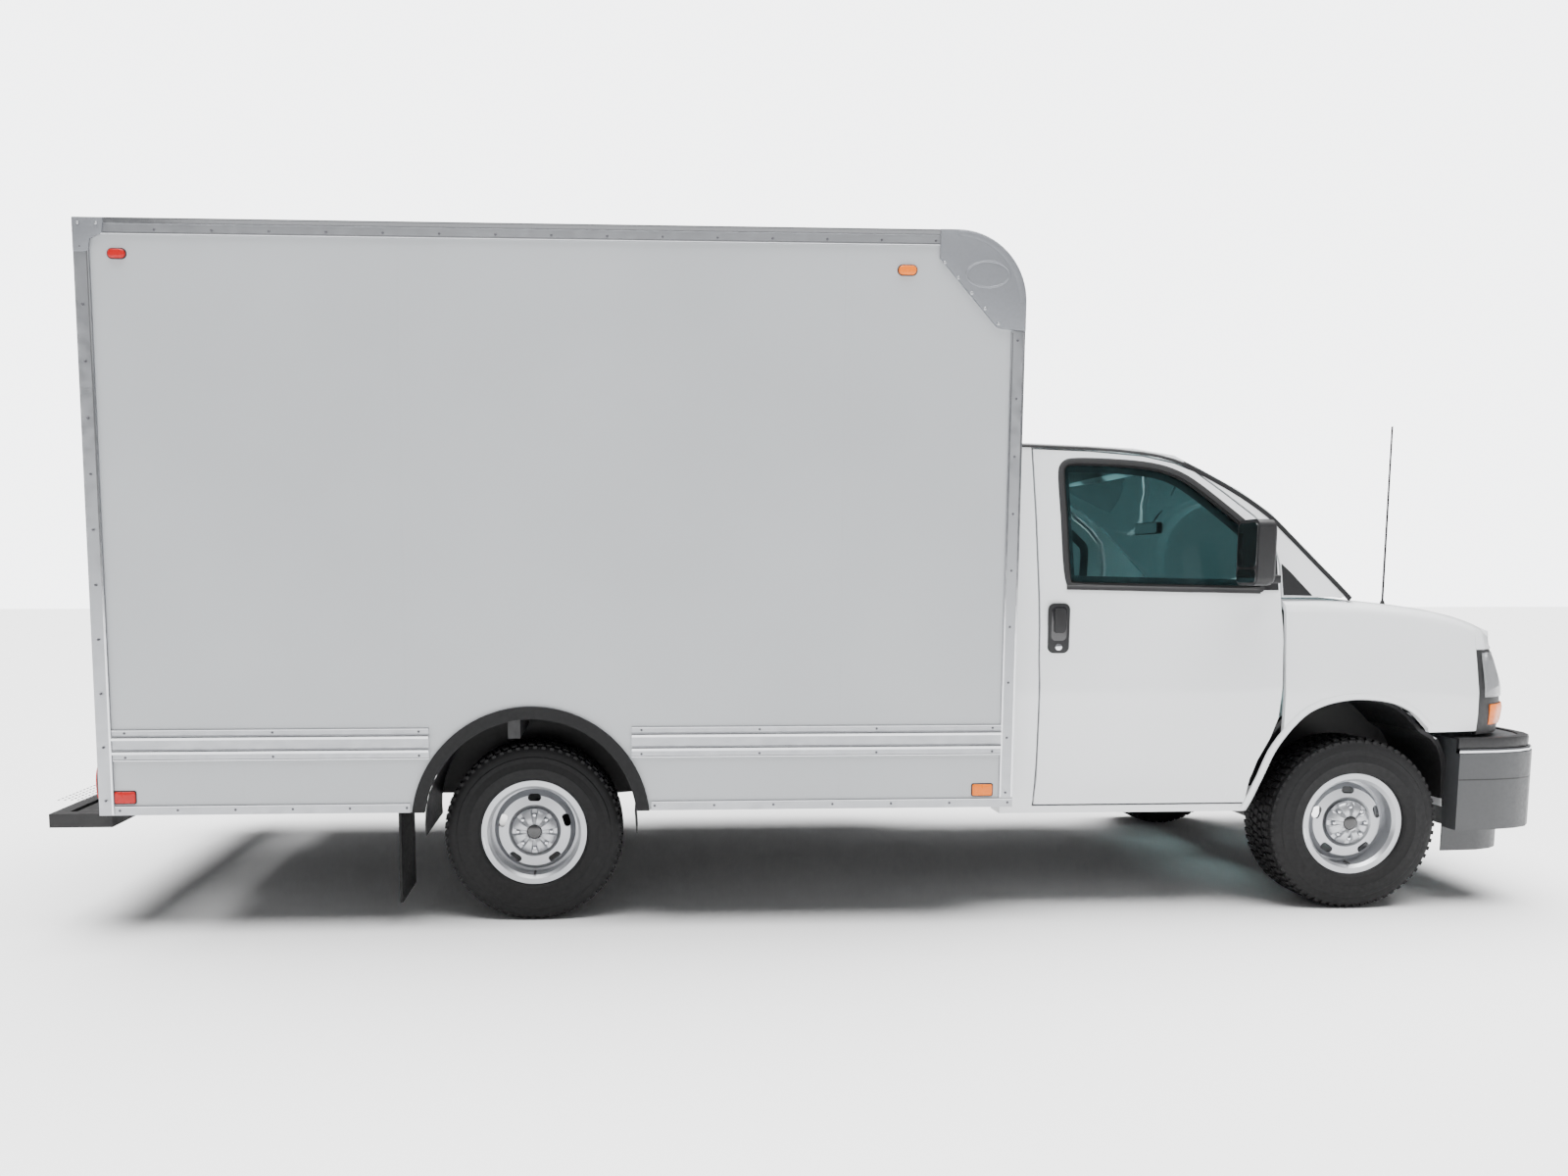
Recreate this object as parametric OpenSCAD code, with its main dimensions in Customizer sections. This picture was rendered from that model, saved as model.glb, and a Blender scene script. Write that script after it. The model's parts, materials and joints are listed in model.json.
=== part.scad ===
// Box truck: a van-front cutaway cab on a ladder frame with a riveted cargo box.
// Every module is drawn from the front axle: x forwards, y to the left, z up from the ground.

/* [Running gear] */
// Front axle to rear axle
wheelbase = 3531; // [3300:1:4300]
// Front axle to the foremost point of the bumper
front_overhang = 950; // [900:1:1150]
// Rear axle to the back edge of the step bumper
rear_overhang = 1939; // [1800:1:2400]
// Centre of one tyre to the centre of the other on the same axle
track = 1730; // [1690:1:1750]
// Outer radius of the tyres
wheel_radius = 375; // [350:1:395]
// Width of a tyre across its sidewalls
tyre_width = 245; // [205:1:265]
// Radius of the rim where the tyre seats
rim_radius = 203; // [180:1:216]
// Radius of the circle of wheel studs
stud_circle_radius = 82.5; // [70:0.1:95]
// How far each front wheel can steer, in degrees
steer_limit = 32; // [20:1:34]

/* [Cab] */
// Widest point of the cab
cab_width = 2010; // [1900:1:2060]
// Height of the roof at its crown
cab_height = 2040; // [1990:1:2150]
// Shut line between a door and the body
door_gap = 8; // [7:0.5:11]
// Thickness of a door below its window
door_thickness = 70; // [56:1:80]
// Thickness of the hood and wings with their inner frames
hood_thickness = 20; // [16:1:26]
// Thickness of the window glass
glass_thickness = 6; // [4:0.5:8]
// How far the hood opens, in degrees
hood_limit = 48; // [30:1:60]

/* [Cargo box] */
// Length of the box from its front wall to its rear frame
box_length = 3691; // [3400:1:4300]
// Width over the side walls
box_width = 2220; // [2150:1:2400]
// Height of the box from the lower trim to the roof
box_height = 2309; // [2100:1:2700]
// Height of the lower trim above the ground
box_bottom = 494; // [460:1:540]
// Height of the deck that the load stands on
deck_height = 905; // [898:1:940]
// Thickness of the deck boards
deck_thickness = 30; // [20:1:40]
// Thickness of a side wall
wall_thickness = 20; // [14:1:30]
// Radius of the curve where the roof meets the front wall
nose_radius = 280; // [200:1:340]
// Width of the corner posts seen from the side
post_width = 56; // [44:1:80]
// Height of the top rail
top_rail_height = 62; // [50:1:90]
// Thickness of a cargo door
cargo_door_thickness = 36; // [28:1:50]
// Radius of the hole cut for each rear wheel
arch_radius = 440; // [425:1:450]
// Radius of the ball hole in the step bumper
ball_hole_radius = 13; // [9:0.5:20]

/* [Hidden] */
$fn = 48;

paint = [0.9, 0.9, 0.91];
aluminium = [0.72, 0.73, 0.74];
casting = [0.62, 0.63, 0.66];
black = [0.07, 0.07, 0.08];
steel = [0.3, 0.3, 0.32];
rubber = [0.05, 0.05, 0.06];

// Places along the truck, from the front axle
origin_shift = (wheelbase + rear_overhang - front_overhang) / 2;
rear_axle_x = -wheelbase;
cab_rear_x = -1552;
box_front_x = cab_rear_x;
box_rear_x = box_front_x - box_length;
bumper_rear_x = rear_axle_x - rear_overhang;

// Heights
box_top = box_bottom + box_height;
sill_height = 85;
sill_bottom = deck_height - deck_thickness - sill_height;
arch_centre_z = deck_height - 465;
rail_depth = 150;
rail_top_cab = 560;
rail_top_box = 690;
floor_top = 600;
belt_z = 1378;

box_half = box_width / 2;
inner_half = box_half - wall_thickness;
rail_outer = 470;
rail_inner = 400;
seat_clearance = 0.3;
kingpin_y = track / 2 - 80;

// Cab side: how far each height lies inside the widest point
side_section = [[430, 52], [480, 38], [584, 20], [590, 14], [850, 2], [980, 0], [1035, 8],
    [1100, 17], [1230, 21], [1380, 39], [1700, 100], [2010, 175]];
// Nose plan: how far the side draws in towards the front
nose_plan = [[-900, 0], [-350, 3], [0, 14], [250, 28], [420, 42], [560, 66], [660, 106],
    [735, 165], [782, 235], [812, 320], [840, 460], [860, 620], [874, 800], [882, 930]];
// How far the nose leans back for each step up
nose_lean = 0.25;
// Greenhouse plan: how far the side windows draw in towards the windshield
window_plan = [[-1100, 0], [-350, 22], [-150, 40], [0, 48]];
// Height of the hood along its centre line
hood_line = [[-345, 1374], [-200, 1372], [0, 1362], [185, 1344], [342, 1321], [458, 1296], [575, 1263],
    [640, 1240], [720, 1208], [800, 1172], [850, 1146], [890, 1110]];
// Fall of the roof along its centre line
roof_fall = [[-1560, 0], [-1415, 2], [-1186, 11], [-968, 22], [-860, 36], [-792, 49], [-740, 80],
    [-640, 125]];

function smooth(t) = let(u = min(1, max(0, t))) u * u * (3 - 2 * u);
// Half width of the cab at a place along it and a height
function half_width(x, z) = cab_width / 2 - lookup(z, side_section)
    - lookup(x + nose_lean * max(0, min(z, 1100) - 900) + 0.1 * max(0, 860 - z), nose_plan)
    - smooth((z - 1100) / 280) * lookup(x, window_plan);
// Height of the hood and fender tops
function hood_z(x, y) = lookup(x, hood_line) - 20 * pow(y / 800, 2);
// Height of the roof
function roof_z(x, y) = cab_height - lookup(x, roof_fall) - 26 * pow(y / 760, 2);

// Door outline, in x and z, without its shut line
door_outline = [[-1407, 474], [-1407, 1982], [-1174, 1973], [-930, 1953], [-795, 1924],
    [-706, 1889], [-581, 1796], [-454, 1696], [-387, 1622], [-366, 1540], [-355, 1490],
    [-354, 1159], [-357, 1074], [-364, 940], [-373, 842], [-403, 754], [-451, 660],
    [-477, 583], [-481, 514], [-481, 474]];
// Window opening in a door
window_outline = [[-1290, 1420], [-1292, 1700], [-1294, 1885], [-1280, 1918], [-1248, 1934],
    [-1069, 1930], [-906, 1918], [-798, 1891], [-711, 1843], [-587, 1743], [-470, 1645],
    [-440, 1600], [-432, 1400], [-445, 1382], [-1262, 1400]];
// Inner edge of the front wheel arch
arch_inner = [[-474, 437], [-448, 505], [-408, 635], [-366, 727], [-270, 847], [-189, 892],
    [-97, 914], [-4, 921], [137, 905], [234, 862], [312, 786], [320, 772]];
// Edge of the windshield beside the pillar, from its foot to the roof
pillar_edge = [[-17, 1354], [-79, 1418], [-281, 1618], [-375, 1712], [-512, 1811],
    [-679, 1903], [-747, 1937]];
lamp_edge_x = 556;
fascia_bottom = 757;
fender_bottom = 772;
fascia_top = 1134;
hood_edge_y = 790;
hood_rear_x = 175;
hood_gap = door_gap + 3;
hood_hinge_x = hood_rear_x + 40;
hood_hinge_y = 450;
hood_hinge_z = hood_z(hood_hinge_x, 0) - 16;
hood_pin_radius = 4;

// Hinge of a cab door: its axis leans in with the side of the cab
door_hinge_x = -470;
door_hinge_y = cab_width / 2 - 31;
door_hinge_z = 870;
door_hinge_lean = 3;
door_hinge_heights = [790, 1040];
knuckle_radius = 8;
pin_radius = 4;
pin_clearance = 0.3;
door_frame_thickness = 34;

// Hinges of the cargo doors
opening_half = box_half - 100;
opening_top = box_top - 92;
cargo_hinge_x = box_rear_x - 12;
cargo_hinge_y = opening_half + 8;
cargo_hinge_heights = [deck_height + 150, (deck_height + opening_top) / 2, opening_top - 150];

// Steering wheel
column_x = -560;
column_y = 390;
column_z = 1170;
column_lean = 122;

module placed() {
    translate([origin_shift, 0, 0]) children();
}

module both_sides() {
    children();
    mirror([0, 1, 0]) children();
}

// Draws an x, z outline as a solid from y0 to y1
module side_prism(y0, y1) {
    translate([0, y1, 0]) rotate([90, 0, 0]) linear_extrude(y1 - y0) children();
}

// Box given by its two corners
module block(a, b) {
    translate(a) cube(b - a);
}

// Gives one closed mesh, which keeps curved shells quick to rebuild
module one_mesh() {
    resize([0, 0, 0]) union() children();
}

// Closed skin over a grid of outer points and a grid of inner points
module grid_shell(outer, inner) {
    rows = len(outer);
    cols = len(outer[0]);
    points = concat([for (r = outer, p = r) p], [for (r = inner, p = r) p]);
    back = rows * cols;
    function id(i, j) = i * cols + j;
    front = [for (i = [0:rows - 2], j = [0:cols - 2], k = [0, 1])
        k == 0 ? [id(i, j), id(i + 1, j), id(i + 1, j + 1)]
            : [id(i, j), id(i + 1, j + 1), id(i, j + 1)]];
    rear = [for (f = front) [back + f[2], back + f[1], back + f[0]]];
    rim = concat([for (j = [0:cols - 2]) [id(0, j), id(0, j + 1)]],
        [for (i = [0:rows - 2]) [id(i, cols - 1), id(i + 1, cols - 1)]],
        [for (j = [cols - 1:-1:1]) [id(rows - 1, j), id(rows - 1, j - 1)]],
        [for (i = [rows - 1:-1:1]) [id(i, 0), id(i - 1, 0)]]);
    walls = [for (e = rim, k = [0, 1])
        k == 0 ? [e[0], e[1], back + e[1]] : [e[0], back + e[1], back + e[0]]];
    polyhedron(points, concat(front, rear, walls));
}

// Slab that follows the left side of the cab, from one depth below its surface to another
module side_slab(x0, x1, z0, z1, deep0, deep1, nx = 8, nz = 14) {
    function grid(inset) = [for (i = [0:nx]) [for (j = [0:nz])
        let(x = x0 + (x1 - x0) * i / nx, z = z0 + (z1 - z0) * j / nz)
        [x, half_width(x, z) - inset, z]]];
    grid_shell(grid(deep0), grid(deep1));
}

// Half of the nose outline at x, from its lower edge over the top to the centre line
function nose_section(x, inset) = let(
        w = half_width(x, 1190), ry = min(85, 0.5 * w), rz = 62,
        yc = w - ry, zc = hood_z(x, yc) - rz,
        side = [for (z = [inset > 0 ? 400 : 430, 640, 740, 840, 940, 1040]) [half_width(x, z) - inset, z]],
        corner = [for (a = [0:18:90]) [yc + (ry - inset) * cos(a), zc + (rz - inset) * sin(a)]],
        top = [for (k = [0.75, 0.5, 0.25, 0]) [yc * k, hood_z(x, yc * k) - inset]])
    concat(side, corner, top);

nose_stations = [-345, -160, 20, 190, 340, 460, 560, 640, 700, 745, 780, 805, 828];

// Solid nose of the cab, from the doors to the front, drawn in by the inset
module nose_solid(inset) {
    half = [for (x = nose_stations) nose_section(x, inset)];
    xs = [for (x = nose_stations) x - inset * smooth((x - 600) / 200) - (x < 0 && inset > 0 ? 20 : 0)];
    n = len(half[0]);
    rings = [for (i = [0:len(xs) - 1]) concat([for (p = half[i]) [xs[i], p[0], p[1]]],
        [for (k = [n - 2:-1:0]) [xs[i], -half[i][k][0], half[i][k][1]]])];
    m = len(rings[0]);
    skin = [for (i = [0:len(rings) - 2], j = [0:m - 1], k = [0, 1]) let(jn = (j + 1) % m)
        k == 0 ? [i * m + j, (i + 1) * m + jn, i * m + jn]
            : [i * m + j, (i + 1) * m + j, (i + 1) * m + jn]];
    // Each end is closed in strips between matching points of its two halves
    function cap(base, j) = [[base + j, base + m - 1 - j, base + j + 1],
        [base + j + 1, base + m - 1 - j, base + m - 2 - j]];
    last = (len(rings) - 1) * m;
    function real(f) = f[0] != f[1] && f[1] != f[2] && f[0] != f[2];
    rear = [for (j = [0:n - 2], f = cap(0, j)) if (real(f)) [f[2], f[1], f[0]]];
    front = [for (j = [0:n - 2], f = cap(last, j)) if (real(f)) f];
    polyhedron([for (r = rings, p = r) p], concat(skin, rear, front));
}

// Shell of the nose, as thick as the panels with their inner frames
module nose_shell() {
    difference() {
        nose_solid(0);
        nose_solid(hood_thickness);
    }
}

// ---------------------------------------------------------------- running gear

module rail_outline() {
    polygon([[690, rail_top_cab - rail_depth], [690, rail_top_cab], [-1570, rail_top_cab],
        [-1950, rail_top_box], [bumper_rear_x + 90, rail_top_box],
        [bumper_rear_x + 90, rail_top_box - rail_depth], [-1910, rail_top_box - rail_depth],
        [-1530, rail_top_cab - rail_depth]]);
}

module frame_rails() {
    placed() color(black) {
        both_sides() difference() {
            side_prism(rail_inner, rail_outer) rail_outline();
            side_prism(rail_inner - 1, rail_outer - 8) offset(delta = -8) rail_outline();
        }
        for (x = [600, -820, -1400])
            block([x, -rail_outer + 8, rail_top_cab - 142], [x + 60, rail_outer - 8, 438]);
        for (x = [-2030, -2950, -4350, -5230])
            block([x, -rail_outer + 8, 570], [x + 60, rail_outer - 8, 650]);
    }
}

arm_low_z = 262;
arm_high_z = 476;
arm_thickness = 16;
arm_end_radius = 30;

module control_arm(z) {
    translate([0, 0, z]) linear_extrude(arm_thickness)
        polygon([[150, rail_inner + 20], [42, 690], [30, kingpin_y], [20, kingpin_y + 24],
            [-20, kingpin_y + 24], [-30, kingpin_y], [-42, 690], [-150, rail_inner + 20]]);
}

module front_suspension() {
    placed() color(steel) {
        block([-80, -rail_outer, arm_low_z], [80, rail_outer, rail_top_cab - rail_depth]);
        both_sides() {
            difference() {
                union() {
                    control_arm(arm_low_z);
                    control_arm(arm_high_z);
                }
                translate([0, kingpin_y, 200]) cylinder(r = 12 + pin_clearance, h = 400);
                block([-200, rail_inner, arm_high_z - 4], [200, rail_outer, arm_high_z + 40]);
            }
            block([-160, rail_outer, arm_high_z - 40], [160, rail_outer + 30, arm_high_z + 50]);
            translate([0, 570, arm_low_z + arm_thickness])
                cylinder(r = 48, h = arm_high_z - arm_low_z - arm_thickness);
        }
    }
}

module knuckle() {
    color(steel) difference() {
        union() {
            translate([0, kingpin_y, arm_low_z - 8])
                cylinder(r = 12, h = arm_high_z - arm_low_z + arm_thickness + 16);
            translate([0, kingpin_y, arm_low_z + arm_thickness + 5])
                cylinder(r = 30, h = arm_high_z - arm_low_z - arm_thickness - 10);
            translate([0, kingpin_y, wheel_radius]) rotate([-90, 0, 0])
                cylinder(r = 30, h = track / 2 + 70 - kingpin_y);
            block([-150, kingpin_y - 24, 330], [0, kingpin_y - 4, 356]);
        }
    }
}

module knuckle_left() {
    placed() knuckle();
}

module knuckle_right() {
    placed() mirror([0, 1, 0]) knuckle();
}

spring_half = 640;

module rear_axle() {
    placed() color(steel) translate([rear_axle_x, 0, 0]) {
        translate([0, -track / 2 - 70, wheel_radius]) rotate([-90, 0, 0])
            cylinder(r = 30, h = track + 140);
        translate([0, -track / 2 + 110, wheel_radius]) rotate([-90, 0, 0])
            cylinder(r = 45, h = track - 220);
        translate([0, -90, wheel_radius]) rotate([-90, 0, 0]) cylinder(r = 140, h = 180);
        translate([100, 0, wheel_radius]) rotate([0, 85.6, 0]) cylinder(r = 38, h = 2130);
        both_sides() {
            side_prism(rail_inner + 4, rail_outer - 4) polygon([[-spring_half, 520],
                [-spring_half, 532], [-320, 474], [0, 458], [320, 474], [spring_half, 532],
                [spring_half, 520], [320, 440], [0, 416], [-320, 440]]);
            for (x = [-spring_half, spring_half - 50])
                block([x, rail_inner + 4, 500], [x + 50, rail_outer - 4, rail_top_box - rail_depth]);
            block([-60, rail_inner + 4, 330], [60, rail_outer - 4, 425]);
        }
    }
}

module engine_block() {
    placed() color(steel) {
        block([-130, -240, rail_top_cab - rail_depth], [420, 240, 960]);
        block([-1300, -150, 438], [-130, 150, 585]);
    }
}

module exhaust_system() {
    placed() color(steel) {
        translate([-2700, -250, 500]) rotate([0, 90, 0]) cylinder(r = 85, h = 620);
        translate([-3050, -250, 500]) rotate([0, 90, 0]) cylinder(r = 30, h = 2250);
        for (x = [-2450, -2850, -1000])
            block([x, -rail_inner, 480], [x + 30, -250, 500]);
        block([-2450, -rail_inner, 480], [-2420, -rail_inner + 30, 560]);
        block([-2850, -rail_inner, 480], [-2820, -rail_inner + 30, 560]);
    }
}

module fuel_tank() {
    placed() color(black) block([-2850, 90, 420], [-2060, rail_inner, 640]);
}

module tyre_outline() {
    w = tyre_width / 2;
    translate([0, 0]) polygon([[rim_radius, -w + 27], [rim_radius + 19, -w + 27], [rim_radius + 24, -w + 10],
        [rim_radius + 70, -w],
        [wheel_radius - 70, -w + 3], [wheel_radius - 22, -w + 14], [wheel_radius - 6, -w + 30],
        [wheel_radius, -w + 60], [wheel_radius, w - 60], [wheel_radius - 6, w - 30],
        [wheel_radius - 22, w - 14], [wheel_radius - 70, w - 3], [rim_radius + 70, w],
        [rim_radius + 24, w - 10], [rim_radius + 19, w - 27], [rim_radius, w - 27], [rim_radius, w - 37],
        [rim_radius + 24, w - 34], [rim_radius + 70, w - 14], [wheel_radius - 50, w - 22],
        [wheel_radius - 16, w - 60], [wheel_radius - 16, -w + 60], [wheel_radius - 50, -w + 22],
        [rim_radius + 70, -w + 14], [rim_radius + 24, -w + 34], [rim_radius, -w + 37]]);
}

module tyre(x, side) {
    placed() color(rubber) translate([x, side * track / 2, wheel_radius]) rotate([90, 0, 0])
        rotate_extrude() tyre_outline();
}

module tyre_front_left() { tyre(0, 1); }
module tyre_front_right() { tyre(0, -1); }
module tyre_rear_left() { tyre(rear_axle_x, 1); }
module tyre_rear_right() { tyre(rear_axle_x, -1); }

hub_radius = 58;
spindle_clearance = 0.3;

// Rim in its own frame, with its outer face towards +z
module rim_body() {
    w = tyre_width / 2;
    seat = rim_radius - seat_clearance;
    difference() {
        rotate_extrude() polygon([[seat, w - 26], [seat + 17, w - 26], [seat + 17, w - 21],
            [seat - 6, w - 21], [seat - 18, w - 34], [seat - 18, 24], [172, 24], [150, 60], [110, 64],
            [86, 44], [hub_radius, 44], [hub_radius, 66], [30 + spindle_clearance, 66],
            [30 + spindle_clearance, -44], [hub_radius, -44], [hub_radius, 32], [90, 32], [114, 52],
            [144, 48], [164, 10], [seat - 18, 10], [seat - 18, -w + 34], [seat - 6, -w + 21],
            [seat + 17, -w + 21], [seat + 17, -w + 26], [seat, -w + 26], [seat, -w + 44],
            [seat - 10, -w + 52], [seat - 10, w - 52], [seat, w - 44]]);
        for (i = [0:4]) rotate([0, 0, 72 * i + 90]) translate([140, 0, 30]) {
            translate([0, -13, 0]) cylinder(r = 15, h = 60);
            translate([0, 13, 0]) cylinder(r = 15, h = 60);
            translate([-15, -13, 0]) cube([30, 26, 60]);
        }
    }
}

module rim(x, side) {
    placed() color(aluminium) translate([x, side * track / 2, wheel_radius]) rotate([-90 * side, 0, 0])
        rim_body();
}

module rim_front_left() { rim(0, 1); }
module rim_front_right() { rim(0, -1); }
module rim_rear_left() { rim(rear_axle_x, 1); }
module rim_rear_right() { rim(rear_axle_x, -1); }

// ---------------------------------------------------------------- cab

footwell_half = 540;
firewall_x = -190;

module cab_floor() {
    placed() color(black) {
        block([cab_rear_x, -864, floor_top - 12], [-484, 864, floor_top]);
        side_prism(-footwell_half, footwell_half) polygon([[-484, floor_top - 12],
            [-484, floor_top], [firewall_x - 60, 760], [firewall_x - 60, 1296], [firewall_x - 48, 1296],
            [firewall_x - 48, 752], [-476, floor_top - 12]]);
        both_sides() {
            // Panel behind each wheel and the firewall above it
            block([-488, footwell_half, floor_top - 6], [-478.3, 798, 960]);
            block([-488, footwell_half, 948], [firewall_x - 48, 798, 960]);
            block([-496, footwell_half - 12, floor_top - 6], [firewall_x - 48, footwell_half + 6, 960]);
            block([firewall_x - 60, footwell_half - 6, 950], [firewall_x - 48, 798, 1296]);
            block([-1500, rail_inner, rail_top_cab], [-1420, rail_outer, floor_top - 12]);
            block([-700, rail_inner, rail_top_cab], [-620, rail_outer, floor_top - 12]);
        }
    }
}

// Side of the cab between the box and the windshield, before the door hole is cut
module side_outline() {
    polygon(concat([[cab_rear_x, 434], [-476, 434], [-484, 470], [-484, 600], [-420, 900], [-420, 1354],
        [-19, 1354]], pillar_edge, [for (x = [-790, -968, -1186, -1415, cab_rear_x])
            [x, roof_z(x, 820)]]));
}

module cab_sides() {
    placed() color(paint) both_sides() {
        one_mesh() {
            intersection() {
                side_slab(cab_rear_x, -10, 434, 2014, 0, side_thickness, 12, 22);
                side_prism(500, 1100) difference() {
                    side_outline();
                    offset(delta = door_gap) polygon(door_outline);
                }
                // The opening is wider behind its outer edge, so that the door can swing
                union() {
                    side_slab(cab_rear_x - 50, 40, 400, 2040, -20, 16, 12, 22);
                    side_prism(500, 1100) difference() {
                        translate([cab_rear_x, 400]) square([1600, 1700]);
                        offset(delta = door_gap + 10) polygon(door_outline);
                    }
                }
            }
            // Jamb inside the rear edge of the door
            intersection() {
                side_slab(cab_rear_x, -1300, 434, 2000, 40, 110, 4, 14);
                side_prism(500, 1100) polygon([[cab_rear_x, 434], [cab_rear_x, 1990],
                    [-1440, 1990], [-1440, 434]]);
            }
            block([cab_rear_x, 848, 434], [-484, 948, 466]);
            block([-484, 800, 520], [-458, 852, 1000]);
            block([-476, 760, 960], [-347, 802, 1373]);
            block([-352, 780, 1354.1], [-320, 860, 1373]);
            intersection() {
                side_slab(-490, -10, 1300, 1500, 8, 80, 4, 4);
                block([-345, 780, 1354], [-60, 1000, 1373]);
            }
        }
        // Fixed halves of the door hinges
        for (h = door_hinge_heights) hinge_frame(h) {
            translate([0, 0, -42]) cylinder(r = pin_radius, h = 84);
            for (z = [-42, 30]) translate([0, 0, z]) {
                cylinder(r = knuckle_radius, h = 12);
                translate([-8, -185, 0]) cube([16, 185, 12]);
            }
        }
    }
}

module hinge_frame(h) {
    translate([door_hinge_x, door_hinge_y - tan(door_hinge_lean) * (h - door_hinge_z), h])
        rotate([door_hinge_lean, 0, 0]) children();
}

roof_thickness = 16;
side_thickness = 58;

module cab_roof() {
    columns = [for (i = [-8:8]) i / 8];
    function front_x(s) = -768 + 75 * (1 - s * s);
    function grid(down) = [for (k = [0:10]) [for (s = columns)
        let(x = cab_rear_x + (front_x(s) - cab_rear_x) * k / 10,
            y = s * (half_width(x, roof_z(x, 780) - down) - side_thickness - 2 * seat_clearance))
        [x, y, roof_z(x, y) - down]]];
    placed() color(paint) grid_shell(grid(0), grid(roof_thickness));
}

// Windshield and its edge: rows follow the pillars, columns run across
function screen_point(s, k, inset) = let(p = pillar_edge[k], t = k / (len(pillar_edge) - 1),
    w = half_width(p[0], p[1]) - side_thickness - 4 * seat_clearance)
    [p[0] + (150 - 75 * t) * (1 - s * s) - inset * 0.7 - 6, s * w,
        p[1] + 14 * t * (1 - s * s) - inset * 0.7];

module windshield() {
    columns = [for (i = [-8:8]) i / 8];
    placed() color([0.3, 0.45, 0.48, 0.5]) grid_shell(
        [for (k = [0:len(pillar_edge) - 1]) [for (s = columns) screen_point(s, k, 0)]],
        [for (k = [0:len(pillar_edge) - 1]) [for (s = columns) screen_point(s, k, glass_thickness)]]);
}

arch_full = concat([[-474, 300]], [for (p = arch_inner) p], [[400, 730], [440, 640], [446, 300]]);

module fenders() {
    placed() color(paint) {
        one_mesh() {
            difference() {
                intersection() {
                    nose_shell();
                    union() {
                        // Sides, up to the hood and the lamps
                        side_prism(-1100, -hood_edge_y - hood_gap / 2) fender_outline();
                        side_prism(hood_edge_y + hood_gap / 2, 1100) fender_outline();
                        // Panel in front of the windshield
                        translate([0, 0, 1200]) linear_extrude(300) polygon(concat(
                            [for (i = [-8:8]) [135 - 150 * i * i / 64, i * 100]],
                            [[hood_rear_x - hood_gap, hood_edge_y + 10],
                                [hood_rear_x - hood_gap, -hood_edge_y - 10]]));
                    }
                }
                both_sides() side_prism(500, 1100) {
                    polygon(arch_full);
                    offset(delta = door_gap + 2) polygon(door_outline);
                }
            }
            both_sides() difference() {
                side_prism(552, 898) liner_outline(456);
                side_prism(560, 1000) polygon(arch_full);
                block([-500, 500, 400], [500, 1000, 434]);
                block([-170, 500, 400], [170, 580, arm_high_z + 54]);
            }
        }
        // Fixed halves of the hood hinges
        both_sides() difference() {
            union() {
                block([hood_rear_x - 30, hood_hinge_y - 12, hood_hinge_z - 8],
                    [hood_hinge_x, hood_hinge_y + 12, hood_hinge_z + 8]);
                translate([hood_hinge_x, hood_hinge_y - 12, hood_hinge_z]) rotate([-90, 0, 0])
                    cylinder(r = 8, h = 24);
            }
            translate([hood_hinge_x, hood_hinge_y - 40, hood_hinge_z]) rotate([-90, 0, 0])
                cylinder(r = hood_pin_radius + pin_clearance, h = 80);
        }
        // Aerial on the right wing
        translate([150, -860, hood_z(150, 860) - 30]) cylinder(r = 3, h = 790);
    }
}

module liner_outline(front) {
    intersection() {
        offset(delta = 8) polygon(arch_full);
        translate([-474, 434]) square([474 + front, 700]);
    }
}

module fender_outline() {
    polygon([[-344, 1353.8], [-344, 434], [-476, 434], [-476, 500], [320, fender_bottom],
        [lamp_edge_x, fender_bottom], [lamp_edge_x, 1400], [-20, 1400], [-20, 1353.8]]);
}

module hood() {
    placed() color(paint) {
        one_mesh() difference() {
            intersection() {
                nose_shell();
                block([hood_rear_x, -hood_edge_y + hood_gap / 2, fascia_top],
                    [1000, hood_edge_y - hood_gap / 2, 1500]);
            }
            // Notches for the fixed halves of the hinges
            both_sides() block([hood_rear_x - 1, hood_hinge_y - 17, 1200],
                [hood_hinge_x + 14, hood_hinge_y + 17, 1500]);
        }
        both_sides() translate([hood_hinge_x, hood_hinge_y - 26, hood_hinge_z]) rotate([-90, 0, 0])
            cylinder(r = hood_pin_radius, h = 52);
    }
}

fascia_half = 600;
fascia_thickness = 34;

// Front panel between the lamps: crowned across and leaning back above its widest line
function fascia_x(y, z) = 831 + 25 * (1 - pow(y / fascia_half, 2)) - nose_lean * max(0, z - 900)
    - 0.1 * max(0, 860 - z);

module front_fascia() {
    function grid(inset) = [for (i = [-8:8]) [for (k = [0:8])
        let(y = i * fascia_half / 8, z = fascia_bottom + (fascia_top - hood_gap - fascia_bottom) * k / 8)
        [fascia_x(y, z) - inset, y, z]]];
    placed() color(black) grid_shell(grid(fascia_thickness), grid(0));
}

module lamps() {
    placed() color([0.8, 0.8, 0.8]) one_mesh() intersection() {
        nose_shell();
        both_sides() block([lamp_edge_x + seat_clearance, fascia_half + seat_clearance, fascia_bottom],
            [1000, 1100, fascia_top - hood_gap]);
    }
}

// Plan of the bumper, drawn in by the inset
function bumper_plan(inset) = let(half = [[450, 985], [620, 975], [740, 950], [820, 915], [872, 865], [902, 800],
        [918, 700], [930, 500], [940, 250]])
    concat([for (p = half) [p[0] - (p[0] > 850 ? inset : inset * max(0, (p[0] - 620) / 230)), p[1] - inset]],
        [[front_overhang - inset, 0]],
        [for (i = [len(half) - 1:-1:0]) let(p = half[i])
            [p[0] - (p[0] > 850 ? inset : inset * max(0, (p[0] - 620) / 230)), -p[1] + inset]]);

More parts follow.
